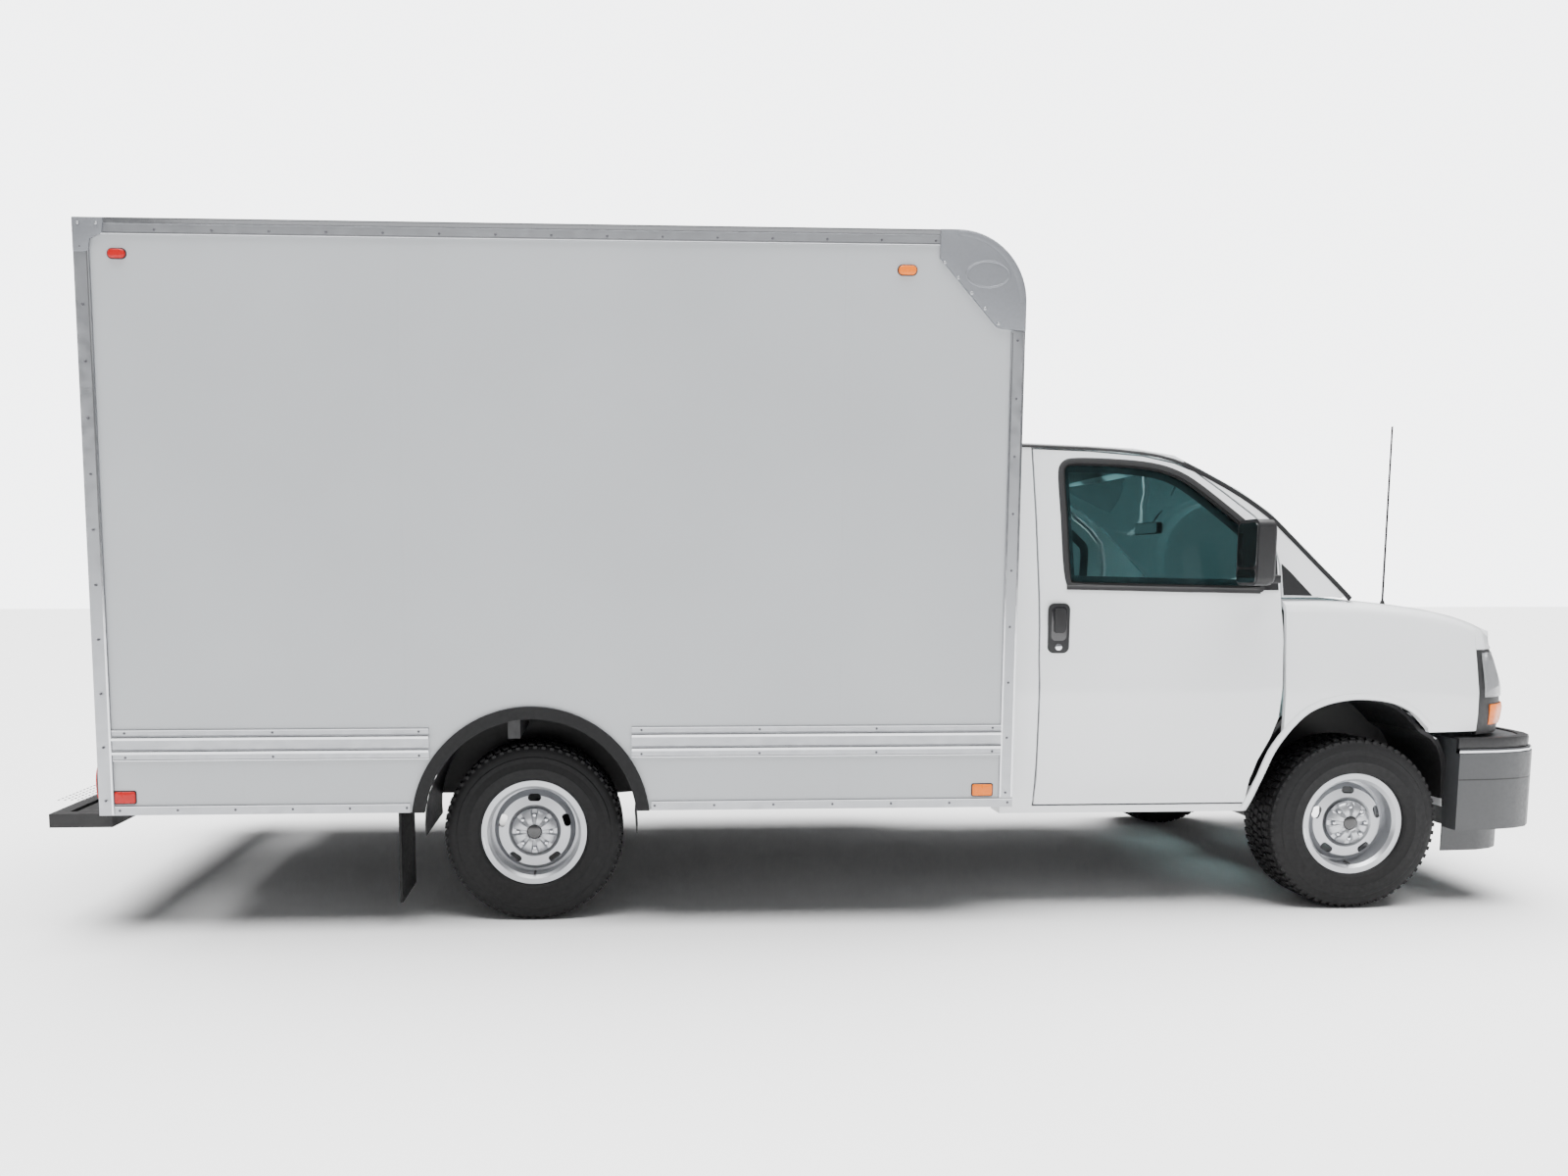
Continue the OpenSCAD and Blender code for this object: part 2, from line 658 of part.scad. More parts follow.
module front_bumper() {
    placed() color(black) difference() {
        union() {
            translate([0, 0, 345]) linear_extrude(335) polygon(bumper_plan(0));
            translate([0, 0, 680]) linear_extrude(60) polygon(bumper_plan(24));
            translate([0, 0, 236]) linear_extrude(109) polygon(bumper_plan(80));
        }
        translate([0, 0, 200]) linear_extrude(460) polygon(concat([[440, 905]],
            [for (p = bumper_plan(86)) p], [[440, -905]]));
        block([440, -600, 655], [700, 600, 760]);
    }
    placed() color(steel) both_sides() block([690, rail_inner, 420], [840, rail_outer, 550]);
}

module dashboard() {
    placed() color(black) difference() {
        union() {
            side_prism(-750, 750) polygon([[firewall_x - 60, 1010], [-400, 1000], [-430, 1060],
                [-440, 1200], [-410, 1270], [firewall_x - 60, 1296]]);
            side_prism(column_y - 170, column_y + 170) polygon([[-400, 1200], [-470, 1200],
                [-470, 1240], [-440, 1300], [-400, 1300]]);
            translate([column_x, column_y, column_z]) rotate([0, column_lean, 0])
                translate([0, 0, 60]) cylinder(r = 34, h = 200);
        }
        translate([column_x, column_y, column_z]) rotate([0, column_lean, 0])
            cylinder(r = 10 + pin_clearance, h = 130);
    }
}

module steering_wheel() {
    placed() color(black) translate([column_x, column_y, column_z]) rotate([0, column_lean, 0]) {
        rotate_extrude() translate([180, 0]) circle(r = 13);
        cylinder(r = 45, h = 40);
        cylinder(r = 10, h = 120);
        for (a = [90, 210, 330]) rotate([0, 0, a]) translate([30, -14, 2]) cube([145, 28, 12]);
    }
}

module seats() {
    placed() color([0.3, 0.3, 0.32]) for (y = [-column_y, column_y]) {
        block([-1200, y - 190, floor_top], [-800, y + 190, 790]);
        side_prism(y - 250, y + 250) polygon([[-1260, 790], [-700, 790], [-690, 850], [-720, 910],
            [-1150, 890], [-1290, 1480], [-1380, 1480], [-1400, 1440]]);
        block([-1390, y - 130, 1480], [-1290, y + 130, 1690]);
    }
}

module cab_door() {
    color(paint) {
        difference() {
            union() {
                one_mesh() {
                    difference() {
                        intersection() {
                            side_slab(-1420, -340, 470, 1995, 0, door_frame_thickness, 10, 24);
                            side_prism(500, 1100) polygon(door_outline);
                        }
                        side_prism(500, 1100) polygon(window_outline);
                    }
                    intersection() {
                        side_slab(-1420, -340, 470, 1400, door_frame_thickness - 1, door_thickness, 10, 18);
                        side_prism(500, 1100) polygon([[-1398, 484], [-1398, 1370], [-362, 1370],
                            [-362, 1159], [-365, 1074], [-372, 940], [-381, 845], [-411, 758],
                            [-459, 662], [-485, 586], [-490, 484]]);
                    }
                }
            }
            for (h = door_hinge_heights) hinge_frame(h)
                translate([-22, -100, -50]) cube([160, 100 + knuckle_radius + 3, 100]);
        }
        for (h = door_hinge_heights) hinge_frame(h) difference() {
            union() {
                translate([0, 0, -26]) cylinder(r = knuckle_radius, h = 52);
                translate([-70, -8, -26]) cube([70, 12, 52]);
            }
            translate([0, 0, -60]) cylinder(r = pin_radius + pin_clearance, h = 120);
        }
    }
}

module door_left() { placed() cab_door(); }
module door_right() { placed() mirror([0, 1, 0]) cab_door(); }

module door_glass() {
    color([0.3, 0.45, 0.48, 0.5]) one_mesh() intersection() {
        side_slab(-1310, -420, 1370, 1945, 14, 14 + glass_thickness, 8, 12);
        side_prism(500, 1100) offset(delta = -seat_clearance) polygon(window_outline);
    }
}

module door_glass_left() { placed() door_glass(); }
module door_glass_right() { placed() mirror([0, 1, 0]) door_glass(); }

module mirror_arm() {
    color(black) {
        block([-610, 1028, 1400], [-512, 1200, 1680]);
        one_mesh() difference() {
            block([-428, 880, 1412], [-408, 1020, 1450]);
            side_slab(-440, -380, 1380, 1500, -seat_clearance, 200, 4, 6);
        }
        block([-530, 1008, 1412], [-408, 1030, 1450]);
    }
}

module mirror_left() { placed() mirror_arm(); }
module mirror_right() { placed() mirror([0, 1, 0]) mirror_arm(); }

// ---------------------------------------------------------------- cargo box

rail_proud = 6;
rub_proud = 14;
wall_outer = box_half - rail_proud;
post_depth = 60;

module cargo_floor() {
    placed() color([0.55, 0.42, 0.28]) {
        block([box_rear_x + post_depth, -inner_half, deck_height - deck_thickness],
            [box_front_x - wall_thickness, inner_half, deck_height]);
    }
    placed() color(black) {
        for (i = [0:9]) translate([box_rear_x + 90 + i * (box_length - 250) / 9, 0, 0])
            block([0, -inner_half, sill_bottom], [50, inner_half, deck_height - deck_thickness]);
        both_sides() block([box_rear_x + 70, rail_inner, rail_top_box],
            [box_front_x - 250, rail_outer, sill_bottom]);
    }
}

module box_walls() {
    placed() color(paint) both_sides() difference() {
        block([box_rear_x + post_depth, inner_half, box_bottom],
            [box_front_x, wall_outer, box_top - 16]);
        translate([rear_axle_x, inner_half - 1, arch_centre_z]) rotate([-90, 0, 0])
            cylinder(r = arch_radius, h = 60);
        block([rear_axle_x - arch_radius, inner_half - 1, 0],
            [rear_axle_x + arch_radius, box_half, arch_centre_z]);
        // The top front corner follows the curve of the roof
        difference() {
            block([box_front_x - nose_radius, inner_half - 1, box_top - nose_radius],
                [box_front_x + 1, box_half, box_top]);
            translate([box_front_x - nose_radius, inner_half - 1, box_top - nose_radius])
                rotate([-90, 0, 0]) cylinder(r = nose_radius - 17, h = 60);
        }
    }
}

module box_front_wall() {
    placed() color(paint) difference() {
        block([box_front_x - wall_thickness, -inner_half, box_bottom],
            [box_front_x, inner_half, box_top - nose_radius]);
        block([box_front_x - wall_thickness - 1, -rail_outer - 20, box_bottom - 1],
            [box_front_x + 1, rail_outer + 20, rail_top_box + 4]);
    }
}

module box_roof() {
    r = nose_radius;
    cx = box_front_x - r;
    cz = box_top - r;
    placed() color(paint) side_prism(-wall_outer, wall_outer) polygon(concat(
        [[box_rear_x + post_depth, box_top], [cx, box_top]],
        [for (a = [85:-5:0]) [cx + r * cos(a), cz + r * sin(a)]],
        [for (a = [0:5:90]) [cx + (r - 16) * cos(a), cz + (r - 16) * sin(a)]],
        [[box_rear_x + post_depth, box_top - 16]]));
}

module side_plate(a, b, proud) {
    block([a[0], wall_outer, a[1]], [b[0], wall_outer + proud, b[1]]);
}

module box_rails() {
    r = nose_radius;
    placed() both_sides() {
        color(aluminium) {
            // Top rail, lower trim and front post
            side_plate([box_rear_x + post_depth, box_top - top_rail_height],
                [box_front_x - r - 70, box_top], rail_proud);
            for (x = [[box_rear_x + post_depth, rear_axle_x - arch_radius - 46],
                    [rear_axle_x + arch_radius + 46, box_front_x]]) {
                side_plate([x[0], box_bottom], [x[1], box_bottom + 38], rail_proud);
            }
            side_plate([box_front_x - post_width, box_bottom + 38],
                [box_front_x, box_top - r - 110], rail_proud);
            // Two rub rails on each side of the wheel
            for (x = [[box_rear_x + post_depth, rear_axle_x - sqrt(pow(arch_radius + 46, 2)
                        - pow(712 - arch_centre_z, 2)) - 4],
                    [rear_axle_x + sqrt(pow(arch_radius + 46, 2) - pow(712 - arch_centre_z, 2)) + 4,
                        box_front_x - post_width]]) {
                side_plate([x[0], 712], [x[1], 838], rail_proud);
                side_plate([x[0], 738], [x[1], 756], rub_proud);
                side_plate([x[0], 794], [x[1], 812], rub_proud);
            }
        }
        // Cast cap on the front corner
        color(casting) side_prism(wall_outer, box_half + 4) polygon(concat(
            [for (a = [90:-5:0]) [box_front_x - r + r * cos(a), box_top - r + r * sin(a)]],
            [[box_front_x, box_top - r - 110], [box_front_x - 100, box_top - r - 100],
                [box_front_x - 118, box_top - r - 92], [box_front_x - r - 70, box_top - 110],
                [box_front_x - r - 70, box_top]]));
    }
}

// Holes for a registration plate below the cargo doors
plate_hole_spacing = 178;
plate_hole_radius = 3.2;
plate_y = -600;
plate_z = 820;

module rear_frame() {
    placed() {
        color(aluminium) difference() {
            block([box_rear_x, -box_half, box_bottom], [box_rear_x + post_depth, box_half, box_top]);
            block([box_rear_x - 1, -opening_half, deck_height],
                [box_rear_x + post_depth + 1, opening_half, opening_top]);
            block([box_rear_x - 1, -box_half + 70, box_bottom - 1],
                [box_rear_x + post_depth + 1, box_half - 70, sill_bottom - 60]);
            for (y = [-plate_hole_spacing / 2, plate_hole_spacing / 2])
                translate([box_rear_x - 1, plate_y + y, plate_z]) rotate([0, 90, 0])
                    cylinder(r = plate_hole_radius, h = post_depth + 2);
        }
        // Fixed halves of the cargo door hinges
        color(steel) both_sides() for (h = cargo_hinge_heights) translate([cargo_hinge_x, cargo_hinge_y, h]) {
            translate([0, 0, -60]) cylinder(r = 5, h = 120);
            for (z = [-60, 21]) translate([0, 0, z]) {
                cylinder(r = 10, h = 39);
                block([0, -6, 0], [12, 50, 39]);
            }
        }
    }
}

module cargo_door() {
    gap = 8;
    color(paint) difference() {
        block([box_rear_x + 8, 3, deck_height + gap],
            [box_rear_x + 8 + cargo_door_thickness, opening_half - gap, opening_top - gap]);
    }
    color(steel) {
        for (h = cargo_hinge_heights) translate([cargo_hinge_x, cargo_hinge_y, h]) difference() {
            union() {
                translate([0, 0, -19]) cylinder(r = 10, h = 38);
                block([-6, -76, -19], [20, -16, 19]);
                block([-6, -18, -19], [6, 0, 19]);
            }
            translate([0, 0, -30]) cylinder(r = 5 + pin_clearance, h = 60);
        }
        // Lock rod and its handle
        translate([box_rear_x - 8, 250, deck_height + gap + 10])
            cylinder(r = 13, h = opening_top - deck_height - 2 * gap - 20);
        for (z = [deck_height + 60, 1500, 2000, opening_top - 100])
            block([box_rear_x - 12, 225, z], [box_rear_x + 8, 275, z + 40]);
        block([box_rear_x - 24, 250, 1240], [box_rear_x - 14, 560, 1275]);
        block([box_rear_x - 24, 520, 1235], [box_rear_x + 8, 560, 1280]);
    }
}

module cargo_door_left() { placed() cargo_door(); }
module cargo_door_right() { placed() mirror([0, 1, 0]) cargo_door(); }

bumper_top = box_bottom - 4;

module rear_bumper() {
    placed() color(black) difference() {
        union() {
            block([bumper_rear_x, -1050, bumper_top - 56], [bumper_rear_x + 250, 1050, bumper_top]);
            both_sides() block([bumper_rear_x + 92, rail_inner, bumper_top - 20],
                [bumper_rear_x + 180, rail_outer, rail_top_box - rail_depth]);
        }
        block([bumper_rear_x + 60, -1000, bumper_top - 60], [bumper_rear_x + 90, -600, bumper_top + 1]);
        block([bumper_rear_x + 60, 600, bumper_top - 60], [bumper_rear_x + 90, 1000, bumper_top + 1]);
        translate([bumper_rear_x + 50, 0, bumper_top - 60]) cylinder(r = ball_hole_radius, h = 70);
    }
}

trim_width = 42;

module arch_trims() {
    placed() color(black) both_sides() difference() {
        translate([rear_axle_x, inner_half, arch_centre_z]) rotate([-90, 0, 0])
            cylinder(r = arch_radius + trim_width, h = wall_outer - inner_half + rub_proud);
        translate([rear_axle_x, wall_outer - 41, arch_centre_z]) rotate([-90, 0, 0])
            cylinder(r = arch_radius - 8, h = 90);
        difference() {
            block([rear_axle_x - 600, wall_outer - 41, 0], [rear_axle_x + 600, wall_outer, 1100]);
            translate([rear_axle_x, wall_outer - 41, arch_centre_z]) rotate([-90, 0, 0])
                cylinder(r = arch_radius - seat_clearance, h = 60);
        }
        block([rear_axle_x - 600, wall_outer - 60, -200], [rear_axle_x + 600, box_half + 60, box_bottom]);
    }
}

module mud_flaps() {
    placed() color(black) both_sides() {
        block([rear_axle_x - 545, 730, 106], [rear_axle_x - 535, 1050, 560]);
        block([rear_axle_x - 545, 730, 560], [rear_axle_x - 515, 1050, 600]);
        block([rear_axle_x - 545, 730, 560], [rear_axle_x - 515, 770, sill_bottom]);
        block([rear_axle_x - 545, 1040, 560], [rear_axle_x - 515, inner_half, 600]);
    }
}

frame_rails();
front_suspension();
knuckle_left();
knuckle_right();
rear_axle();
engine_block();
exhaust_system();
fuel_tank();
tyre_front_left();
tyre_front_right();
tyre_rear_left();
tyre_rear_right();
rim_front_left();
rim_front_right();
rim_rear_left();
rim_rear_right();
cab_floor();
cab_sides();
cab_roof();
windshield();
fenders();
hood();
front_fascia();
lamps();
front_bumper();
dashboard();
steering_wheel();
seats();
door_left();
door_right();
door_glass_left();
door_glass_right();
mirror_left();
mirror_right();
cargo_floor();
box_walls();
box_front_wall();
box_roof();
box_rails();
rear_frame();
cargo_door_left();
cargo_door_right();
rear_bumper();
arch_trims();
mud_flaps();
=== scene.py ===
# %% [markdown]
# # A riveted box truck
# The truck comes in as a fixed frame: every steel, glass and rubber solid already stands in its place, in
# metres, with the ground at Z = 0. This lesson dresses that frame. Shapes that are right keep their mesh
# and get a finish; tyres, seats and mirrors are built again with more detail; rivets, tread and lamps are
# added.

# %% Load the frame
import bpy, bmesh, json, math
from mathutils import Vector, Matrix

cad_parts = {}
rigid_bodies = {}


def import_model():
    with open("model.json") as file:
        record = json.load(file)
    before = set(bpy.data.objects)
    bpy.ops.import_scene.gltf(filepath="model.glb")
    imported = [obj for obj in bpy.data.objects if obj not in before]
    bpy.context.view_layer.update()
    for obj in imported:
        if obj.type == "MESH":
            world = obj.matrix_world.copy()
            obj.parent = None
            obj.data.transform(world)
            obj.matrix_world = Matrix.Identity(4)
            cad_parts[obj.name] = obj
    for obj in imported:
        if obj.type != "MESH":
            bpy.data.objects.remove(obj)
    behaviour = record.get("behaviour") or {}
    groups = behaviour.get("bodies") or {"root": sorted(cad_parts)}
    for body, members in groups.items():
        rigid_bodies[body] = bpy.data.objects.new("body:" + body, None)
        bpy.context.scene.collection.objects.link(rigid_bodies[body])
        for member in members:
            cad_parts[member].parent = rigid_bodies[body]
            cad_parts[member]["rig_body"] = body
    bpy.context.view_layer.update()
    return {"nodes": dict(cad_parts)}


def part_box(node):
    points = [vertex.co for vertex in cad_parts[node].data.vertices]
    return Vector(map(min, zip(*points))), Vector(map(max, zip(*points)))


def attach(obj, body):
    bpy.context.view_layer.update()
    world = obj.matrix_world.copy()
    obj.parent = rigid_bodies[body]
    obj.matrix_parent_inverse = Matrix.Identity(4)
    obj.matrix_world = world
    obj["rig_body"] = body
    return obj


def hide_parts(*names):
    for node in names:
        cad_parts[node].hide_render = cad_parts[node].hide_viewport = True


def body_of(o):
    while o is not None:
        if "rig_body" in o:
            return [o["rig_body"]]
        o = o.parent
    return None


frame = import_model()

nodes = frame["nodes"]

# %% [markdown]
# Every length on the truck is easiest to read from the front axle, in millimetres, as on a workshop
# drawing. The axle is found from the tyre's own box, so the dressing follows the frame if the wheelbase
# is changed.

# %% Workshop measurements
def centre(node):
    low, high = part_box(node)
    return [(a + b) / 2 for a, b in zip(low, high)]

front_x = centre("tyre_front_right")[0]
rear_x = centre("tyre_rear_right")[0]
tyre_y = abs(centre("tyre_front_right")[1])
wheel_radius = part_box("tyre_front_right")[1][2] / 2
wheelbase = round((front_x - rear_x) * 1000)
roof_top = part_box("box_roof")[1][2]

def at(x, y, z):
    """A point given in millimetres from the front axle."""
    return Vector((front_x + x / 1000, y / 1000, z / 1000))

print("wheelbase", wheelbase, "mm, wheel radius", round(wheel_radius, 3))

# %% [markdown]
# The side of the cab swells and narrows in two directions. The same small tables that shape the metal are
# used here, so that a seal or a badge plate can be laid on the curved skin instead of floating near it.

# %% The skin of the cab
side_section = [(430, 52), (480, 38), (584, 20), (590, 14), (850, 2), (980, 0), (1035, 8),
    (1100, 17), (1230, 21), (1380, 39), (1700, 100), (2010, 175)]
nose_plan = [(-900, 0), (-350, 3), (0, 14), (250, 28), (420, 42), (560, 66), (660, 106),
    (735, 165), (782, 235), (812, 320), (840, 460), (860, 620), (874, 800), (882, 930)]
window_plan = [(-1100, 0), (-350, 22), (-150, 40), (0, 48)]
hood_line = [(-345, 1374), (-200, 1372), (0, 1362), (185, 1344), (342, 1321), (458, 1296), (575, 1263),
    (640, 1240), (720, 1208), (800, 1172), (850, 1146), (890, 1110)]
roof_fall = [(-1560, 0), (-1415, 2), (-1186, 11), (-968, 22), (-860, 36), (-792, 49), (-740, 80),
    (-640, 125)]
cab_width = 2010

def lookup(value, table):
    if value <= table[0][0]:
        return table[0][1]
    for (a, va), (b, vb) in zip(table, table[1:]):
        if value <= b:
            return va + (vb - va) * (value - a) / (b - a)
    return table[-1][1]

def smooth(t):
    t = min(1, max(0, t))
    return t * t * (3 - 2 * t)

def half_width(x, z):
    lean = x + 0.25 * max(0, min(z, 1100) - 900) + 0.1 * max(0, 860 - z)
    return (cab_width / 2 - lookup(z, side_section) - lookup(lean, nose_plan)
        - smooth((z - 1100) / 280) * lookup(x, window_plan))

def hood_z(x, y):
    return lookup(x, hood_line) - 20 * (y / 800) ** 2

def roof_z(x, y):
    return 2040 - lookup(x, roof_fall) - 26 * (y / 760) ** 2

print("cab is", round(2 * half_width(-900, 980)), "mm wide at its shoulder")

# %% [markdown]
# ## Camera and studio
# The camera stands low beside the truck, a little behind the front axle, with a small shift so that the
# box fills the frame. The floor is one pale sheet that reaches out of sight. A sun lamp lights it evenly
# to the horizon, and its disc is set very wide, so the shadow under the truck stays soft. It leans a
# little from the far side, so the near side is lit by what comes back off the floor. A dim sky and a
# faint panel fill the rest.

# %% Camera
camera = bpy.data.objects.new("camera", bpy.data.cameras.new("camera"))
bpy.context.scene.collection.objects.link(camera)
camera.data.lens = 26.335
camera.data.shift_x, camera.data.shift_y = 0.0727, 0.0606
camera.data.clip_end = 200
camera.location = (front_x - 3.1906, -5.7131, 1.4483)
camera.rotation_euler = (math.pi / 2 - 0.0938, 0, -0.0482)
bpy.context.scene.camera = camera
print("camera at", [round(c, 3) for c in camera.location])

# %% Floor and light
def plain(name, colour, rough=0.5, metal=0.0, **more):
    """A material with one Principled shader, ready for its pattern nodes."""
    m = bpy.data.materials.new(name)
    m.use_nodes = True
    shader = m.node_tree.nodes["Principled BSDF"]
    shader.inputs["Base Color"].default_value = (*colour, 1)
    shader.inputs["Roughness"].default_value = rough
    shader.inputs["Metallic"].default_value = metal
    for key, value in more.items():
        shader.inputs[key.replace("_", " ")].default_value = value
    return m

floor_mesh = bpy.data.meshes.new("studio_floor")
reach = 45
floor_mesh.from_pydata([(-reach, -reach, 0), (reach, -reach, 0), (reach, reach, 0), (-reach, reach, 0)],
    [], [(0, 1, 2, 3)])
floor = bpy.data.objects.new("studio_floor", floor_mesh)
bpy.context.scene.collection.objects.link(floor)
floor_mesh.materials.append(plain("studio_floor", (0.80, 0.80, 0.80), 0.75))

world = bpy.context.scene.world or bpy.data.worlds.new("studio")
bpy.context.scene.world = world
world.use_nodes = True
sky = world.node_tree.nodes["Background"]
sky.inputs["Color"].default_value = (0.97, 0.98, 1.0, 1)
# What the camera sees of the sky is brighter than the light it gives, as a lit backdrop would be
ray = world.node_tree.nodes.new("ShaderNodeLightPath")
level = world.node_tree.nodes.new("ShaderNodeMapRange")
level.inputs["To Min"].default_value, level.inputs["To Max"].default_value = 0.32, 5.2
world.node_tree.links.new(ray.outputs["Is Camera Ray"], level.inputs["Value"])
world.node_tree.links.new(level.outputs["Result"], sky.inputs["Strength"])

def panel(name, size, power, place, aim):
    light = bpy.data.lights.new(name, "AREA")
    light.shape, light.size, light.size_y, light.energy = "RECTANGLE", size[0], size[1], power
    lamp = bpy.data.objects.new(name, light)
    bpy.context.scene.collection.objects.link(lamp)
    lamp.location = place
    lamp.rotation_euler = (Vector(aim) - Vector(place)).to_track_quat("-Z", "Y").to_euler()

overhead = bpy.data.objects.new("overhead", bpy.data.lights.new("overhead", "SUN"))
bpy.context.scene.collection.objects.link(overhead)
overhead.data.energy, overhead.data.angle = 14.0, 1.2
overhead.location, overhead.rotation_euler = (0, 0, 10), (-0.10, 0, 0)
panel("side_panel", (9, 3), 40, (-1.0, -9.0, 5.0), (-0.8, 0, 1.2))
print("studio ready")

# %% [markdown]
# ## Shared effects
# Three effects turn up on nearly every surface: a fine grain in the gloss, dust that gathers low down,
# and a slow drift of tone over big panels. Grain and dust are each one node group, built once, with
# named inputs; the drift is the grain group at a large scale. Each material then places them with its
# own values.

# %% Effect groups
def effect(name, inputs, outputs):
    """An empty shader group with float sockets; gives the tree and its two end nodes."""
    tree = bpy.data.node_groups.new(name, "ShaderNodeTree")
    for label, value in inputs:
        socket = tree.interface.new_socket(label, in_out="INPUT", socket_type="NodeSocketFloat")
        socket.default_value = value
    for label in outputs:
        tree.interface.new_socket(label, in_out="OUTPUT", socket_type="NodeSocketFloat")
    return tree, tree.nodes.new("NodeGroupInput"), tree.nodes.new("NodeGroupOutput")

def add(tree, kind, links=(), **values):
    """Adds a node; values set its inputs by name, links join (socket name, source socket)."""
    node = tree.nodes.new(kind)
    for key, value in values.items():
        if hasattr(node, key) and key not in ("width", "height"):
            setattr(node, key, value)
        else:
            node.inputs[key.replace("_", " ")].default_value = value
    for key, source in links:
        tree.links.new(source, node.inputs[key])
    return node

# Grain: noise between 0 and 1 at a chosen scale, for gloss and for the slow drift of tone
grain, g_in, g_out = effect("fine_grain", [("Scale", 60), ("Detail", 3), ("Low", 0), ("High", 1)],
    ["Value"])
place = add(grain, "ShaderNodeTexCoord")
noise = add(grain, "ShaderNodeTexNoise", [("Vector", place.outputs["Object"]),
    ("Scale", g_in.outputs["Scale"]), ("Detail", g_in.outputs["Detail"])])
spread = add(grain, "ShaderNodeMapRange", [("Value", noise.outputs["Fac"]),
    ("To Min", g_in.outputs["Low"]), ("To Max", g_in.outputs["High"])], From_Min=0.3, From_Max=0.7)
grain.links.new(spread.outputs["Result"], g_out.inputs["Value"])

# Dust: strongest near the ground, broken up by noise
dust, d_in, d_out = effect("low_dust", [("Height", 0.6), ("Amount", 0.3)], ["Mask"])
place = add(dust, "ShaderNodeTexCoord")
split = add(dust, "ShaderNodeSeparateXYZ", [("Vector", place.outputs["Object"])])
fall = add(dust, "ShaderNodeMapRange", [("Value", split.outputs["Z"]),
    ("From Max", d_in.outputs["Height"])],
    From_Min=0.0, To_Min=1.0, To_Max=0.0)
patch = add(dust, "ShaderNodeTexNoise", [("Vector", place.outputs["Object"])], Scale=9.0, Detail=5.0)
mix = add(dust, "ShaderNodeMath", [(0, fall.outputs["Result"]), (1, patch.outputs["Fac"])],
    operation="MULTIPLY")
most = add(dust, "ShaderNodeMath", [(0, mix.outputs[0]), (1, d_in.outputs["Amount"])], operation="MULTIPLY")
dust.links.new(most.outputs[0], d_out.inputs["Mask"])
print("groups", [g.name for g in bpy.data.node_groups])

# %% [markdown]
# ## Finishes
# A finish is a Principled shader fed by those groups. Paint is a coat over white with a faint orange
# peel; the box panels carry the same paint set to a mid grey, which is painted shade. Mill aluminium is
# brushed along its length; moulded plastic has a fine leathery bump; tyre rubber is nearly black with a
# soft dusty tone. Dust only changes colour and roughness, so the shape stays crisp.

# %% A finish maker
def finish(name, colour, rough=(0.4, 0.5), grain_scale=60, bump=0.0, bump_scale=300, metal=0.0, dusty=0.15,
        dust_height=0.7, drift=0.03, stretch=(1, 1, 1), dust_colour=(0.42, 0.40, 0.37), **more):
    m = plain(name, colour, rough[0], metal, **more)
    t = m.node_tree
    shader = t.nodes["Principled BSDF"]
    def group(which, **values):
        node = t.nodes.new("ShaderNodeGroup")
        node.node_tree = which
        for key, value in values.items():
            node.inputs[key].default_value = value
        return node
    gloss = group(grain, Scale=grain_scale, Detail=4, Low=rough[0], High=rough[1])
    tone = group(grain, Scale=1.3, Detail=2, Low=1 - drift, High=1 + drift * 0.3)
    low = group(dust, Height=dust_height, Amount=dusty)
    shade = add(t, "ShaderNodeMix", data_type="RGBA", blend_type="MULTIPLY")
    shade.inputs["Factor"].default_value = 1
    shade.inputs["A"].default_value = (*colour, 1)
    shade.inputs[6].default_value = (*colour, 1)
    grey = add(t, "ShaderNodeCombineColor", [(i, tone.outputs["Value"]) for i in range(3)])
    t.links.new(grey.outputs[0], shade.inputs[7])
    dirty = add(t, "ShaderNodeMix", data_type="RGBA")
    t.links.new(low.outputs["Mask"], dirty.inputs["Factor"])
    t.links.new(shade.outputs[2], dirty.inputs[6])
    dirty.inputs[7].default_value = (*dust_colour, 1)
    t.links.new(dirty.outputs[2], shader.inputs["Base Color"])
    matt = add(t, "ShaderNodeMath", [(0, gloss.outputs["Value"]), (1, low.outputs["Mask"])],
        operation="ADD")
    t.links.new(matt.outputs[0], shader.inputs["Roughness"])
    if bump:
        where = add(t, "ShaderNodeTexCoord")
        turn = add(t, "ShaderNodeMapping", [("Vector", where.outputs["Object"])])
        turn.inputs["Scale"].default_value = stretch
        fine = add(t, "ShaderNodeTexNoise", [("Vector", turn.outputs[0])], Scale=bump_scale, Detail=3.0)
        raised = add(t, "ShaderNodeBump", [("Height", fine.outputs["Fac"])], Distance=0.002)
        raised.inputs["Strength"].default_value = bump
        t.links.new(raised.outputs[0], shader.inputs["Normal"])
    return m

# %% The truck's finishes
paint = finish("white_paint", (0.80, 0.815, 0.83), (0.2, 0.26), 30, 0.02, 600, dusty=0.06, dust_height=0.9,
    Coat_Weight=0.7, Coat_Roughness=0.04)
# The box panels are the same white paint as the cab; their mid grey base colour is painted shade, standing in
# for the shade and sky reflection that darken the box side.
shaded_panel_paint = finish("shaded_panel_paint", (0.40, 0.415, 0.43), (0.3, 0.38), 20, 0.02, 240, dusty=0.05,
    dust_height=1.2, drift=0.05, Coat_Weight=0.25, Coat_Roughness=0.2)
chassis_black = finish("chassis_black", (0.012, 0.012, 0.013), (0.5, 0.65), 40, 0.08, 260, dusty=0.1,
    dust_height=0.8, Specular_IOR_Level=0.3)
trim_black = finish("moulded_black", (0.012, 0.012, 0.013), (0.42, 0.55), 70, 0.15, 900, dusty=0.05,
    Specular_IOR_Level=0.35)
gloss_black = finish("gloss_black", (0.012, 0.012, 0.014), (0.12, 0.2), 30, dusty=0.1, Coat_Weight=0.4)
bumper_grey = finish("bumper_grey", (0.040, 0.042, 0.045), (0.4, 0.52), 60, 0.1, 800, dusty=0.05)
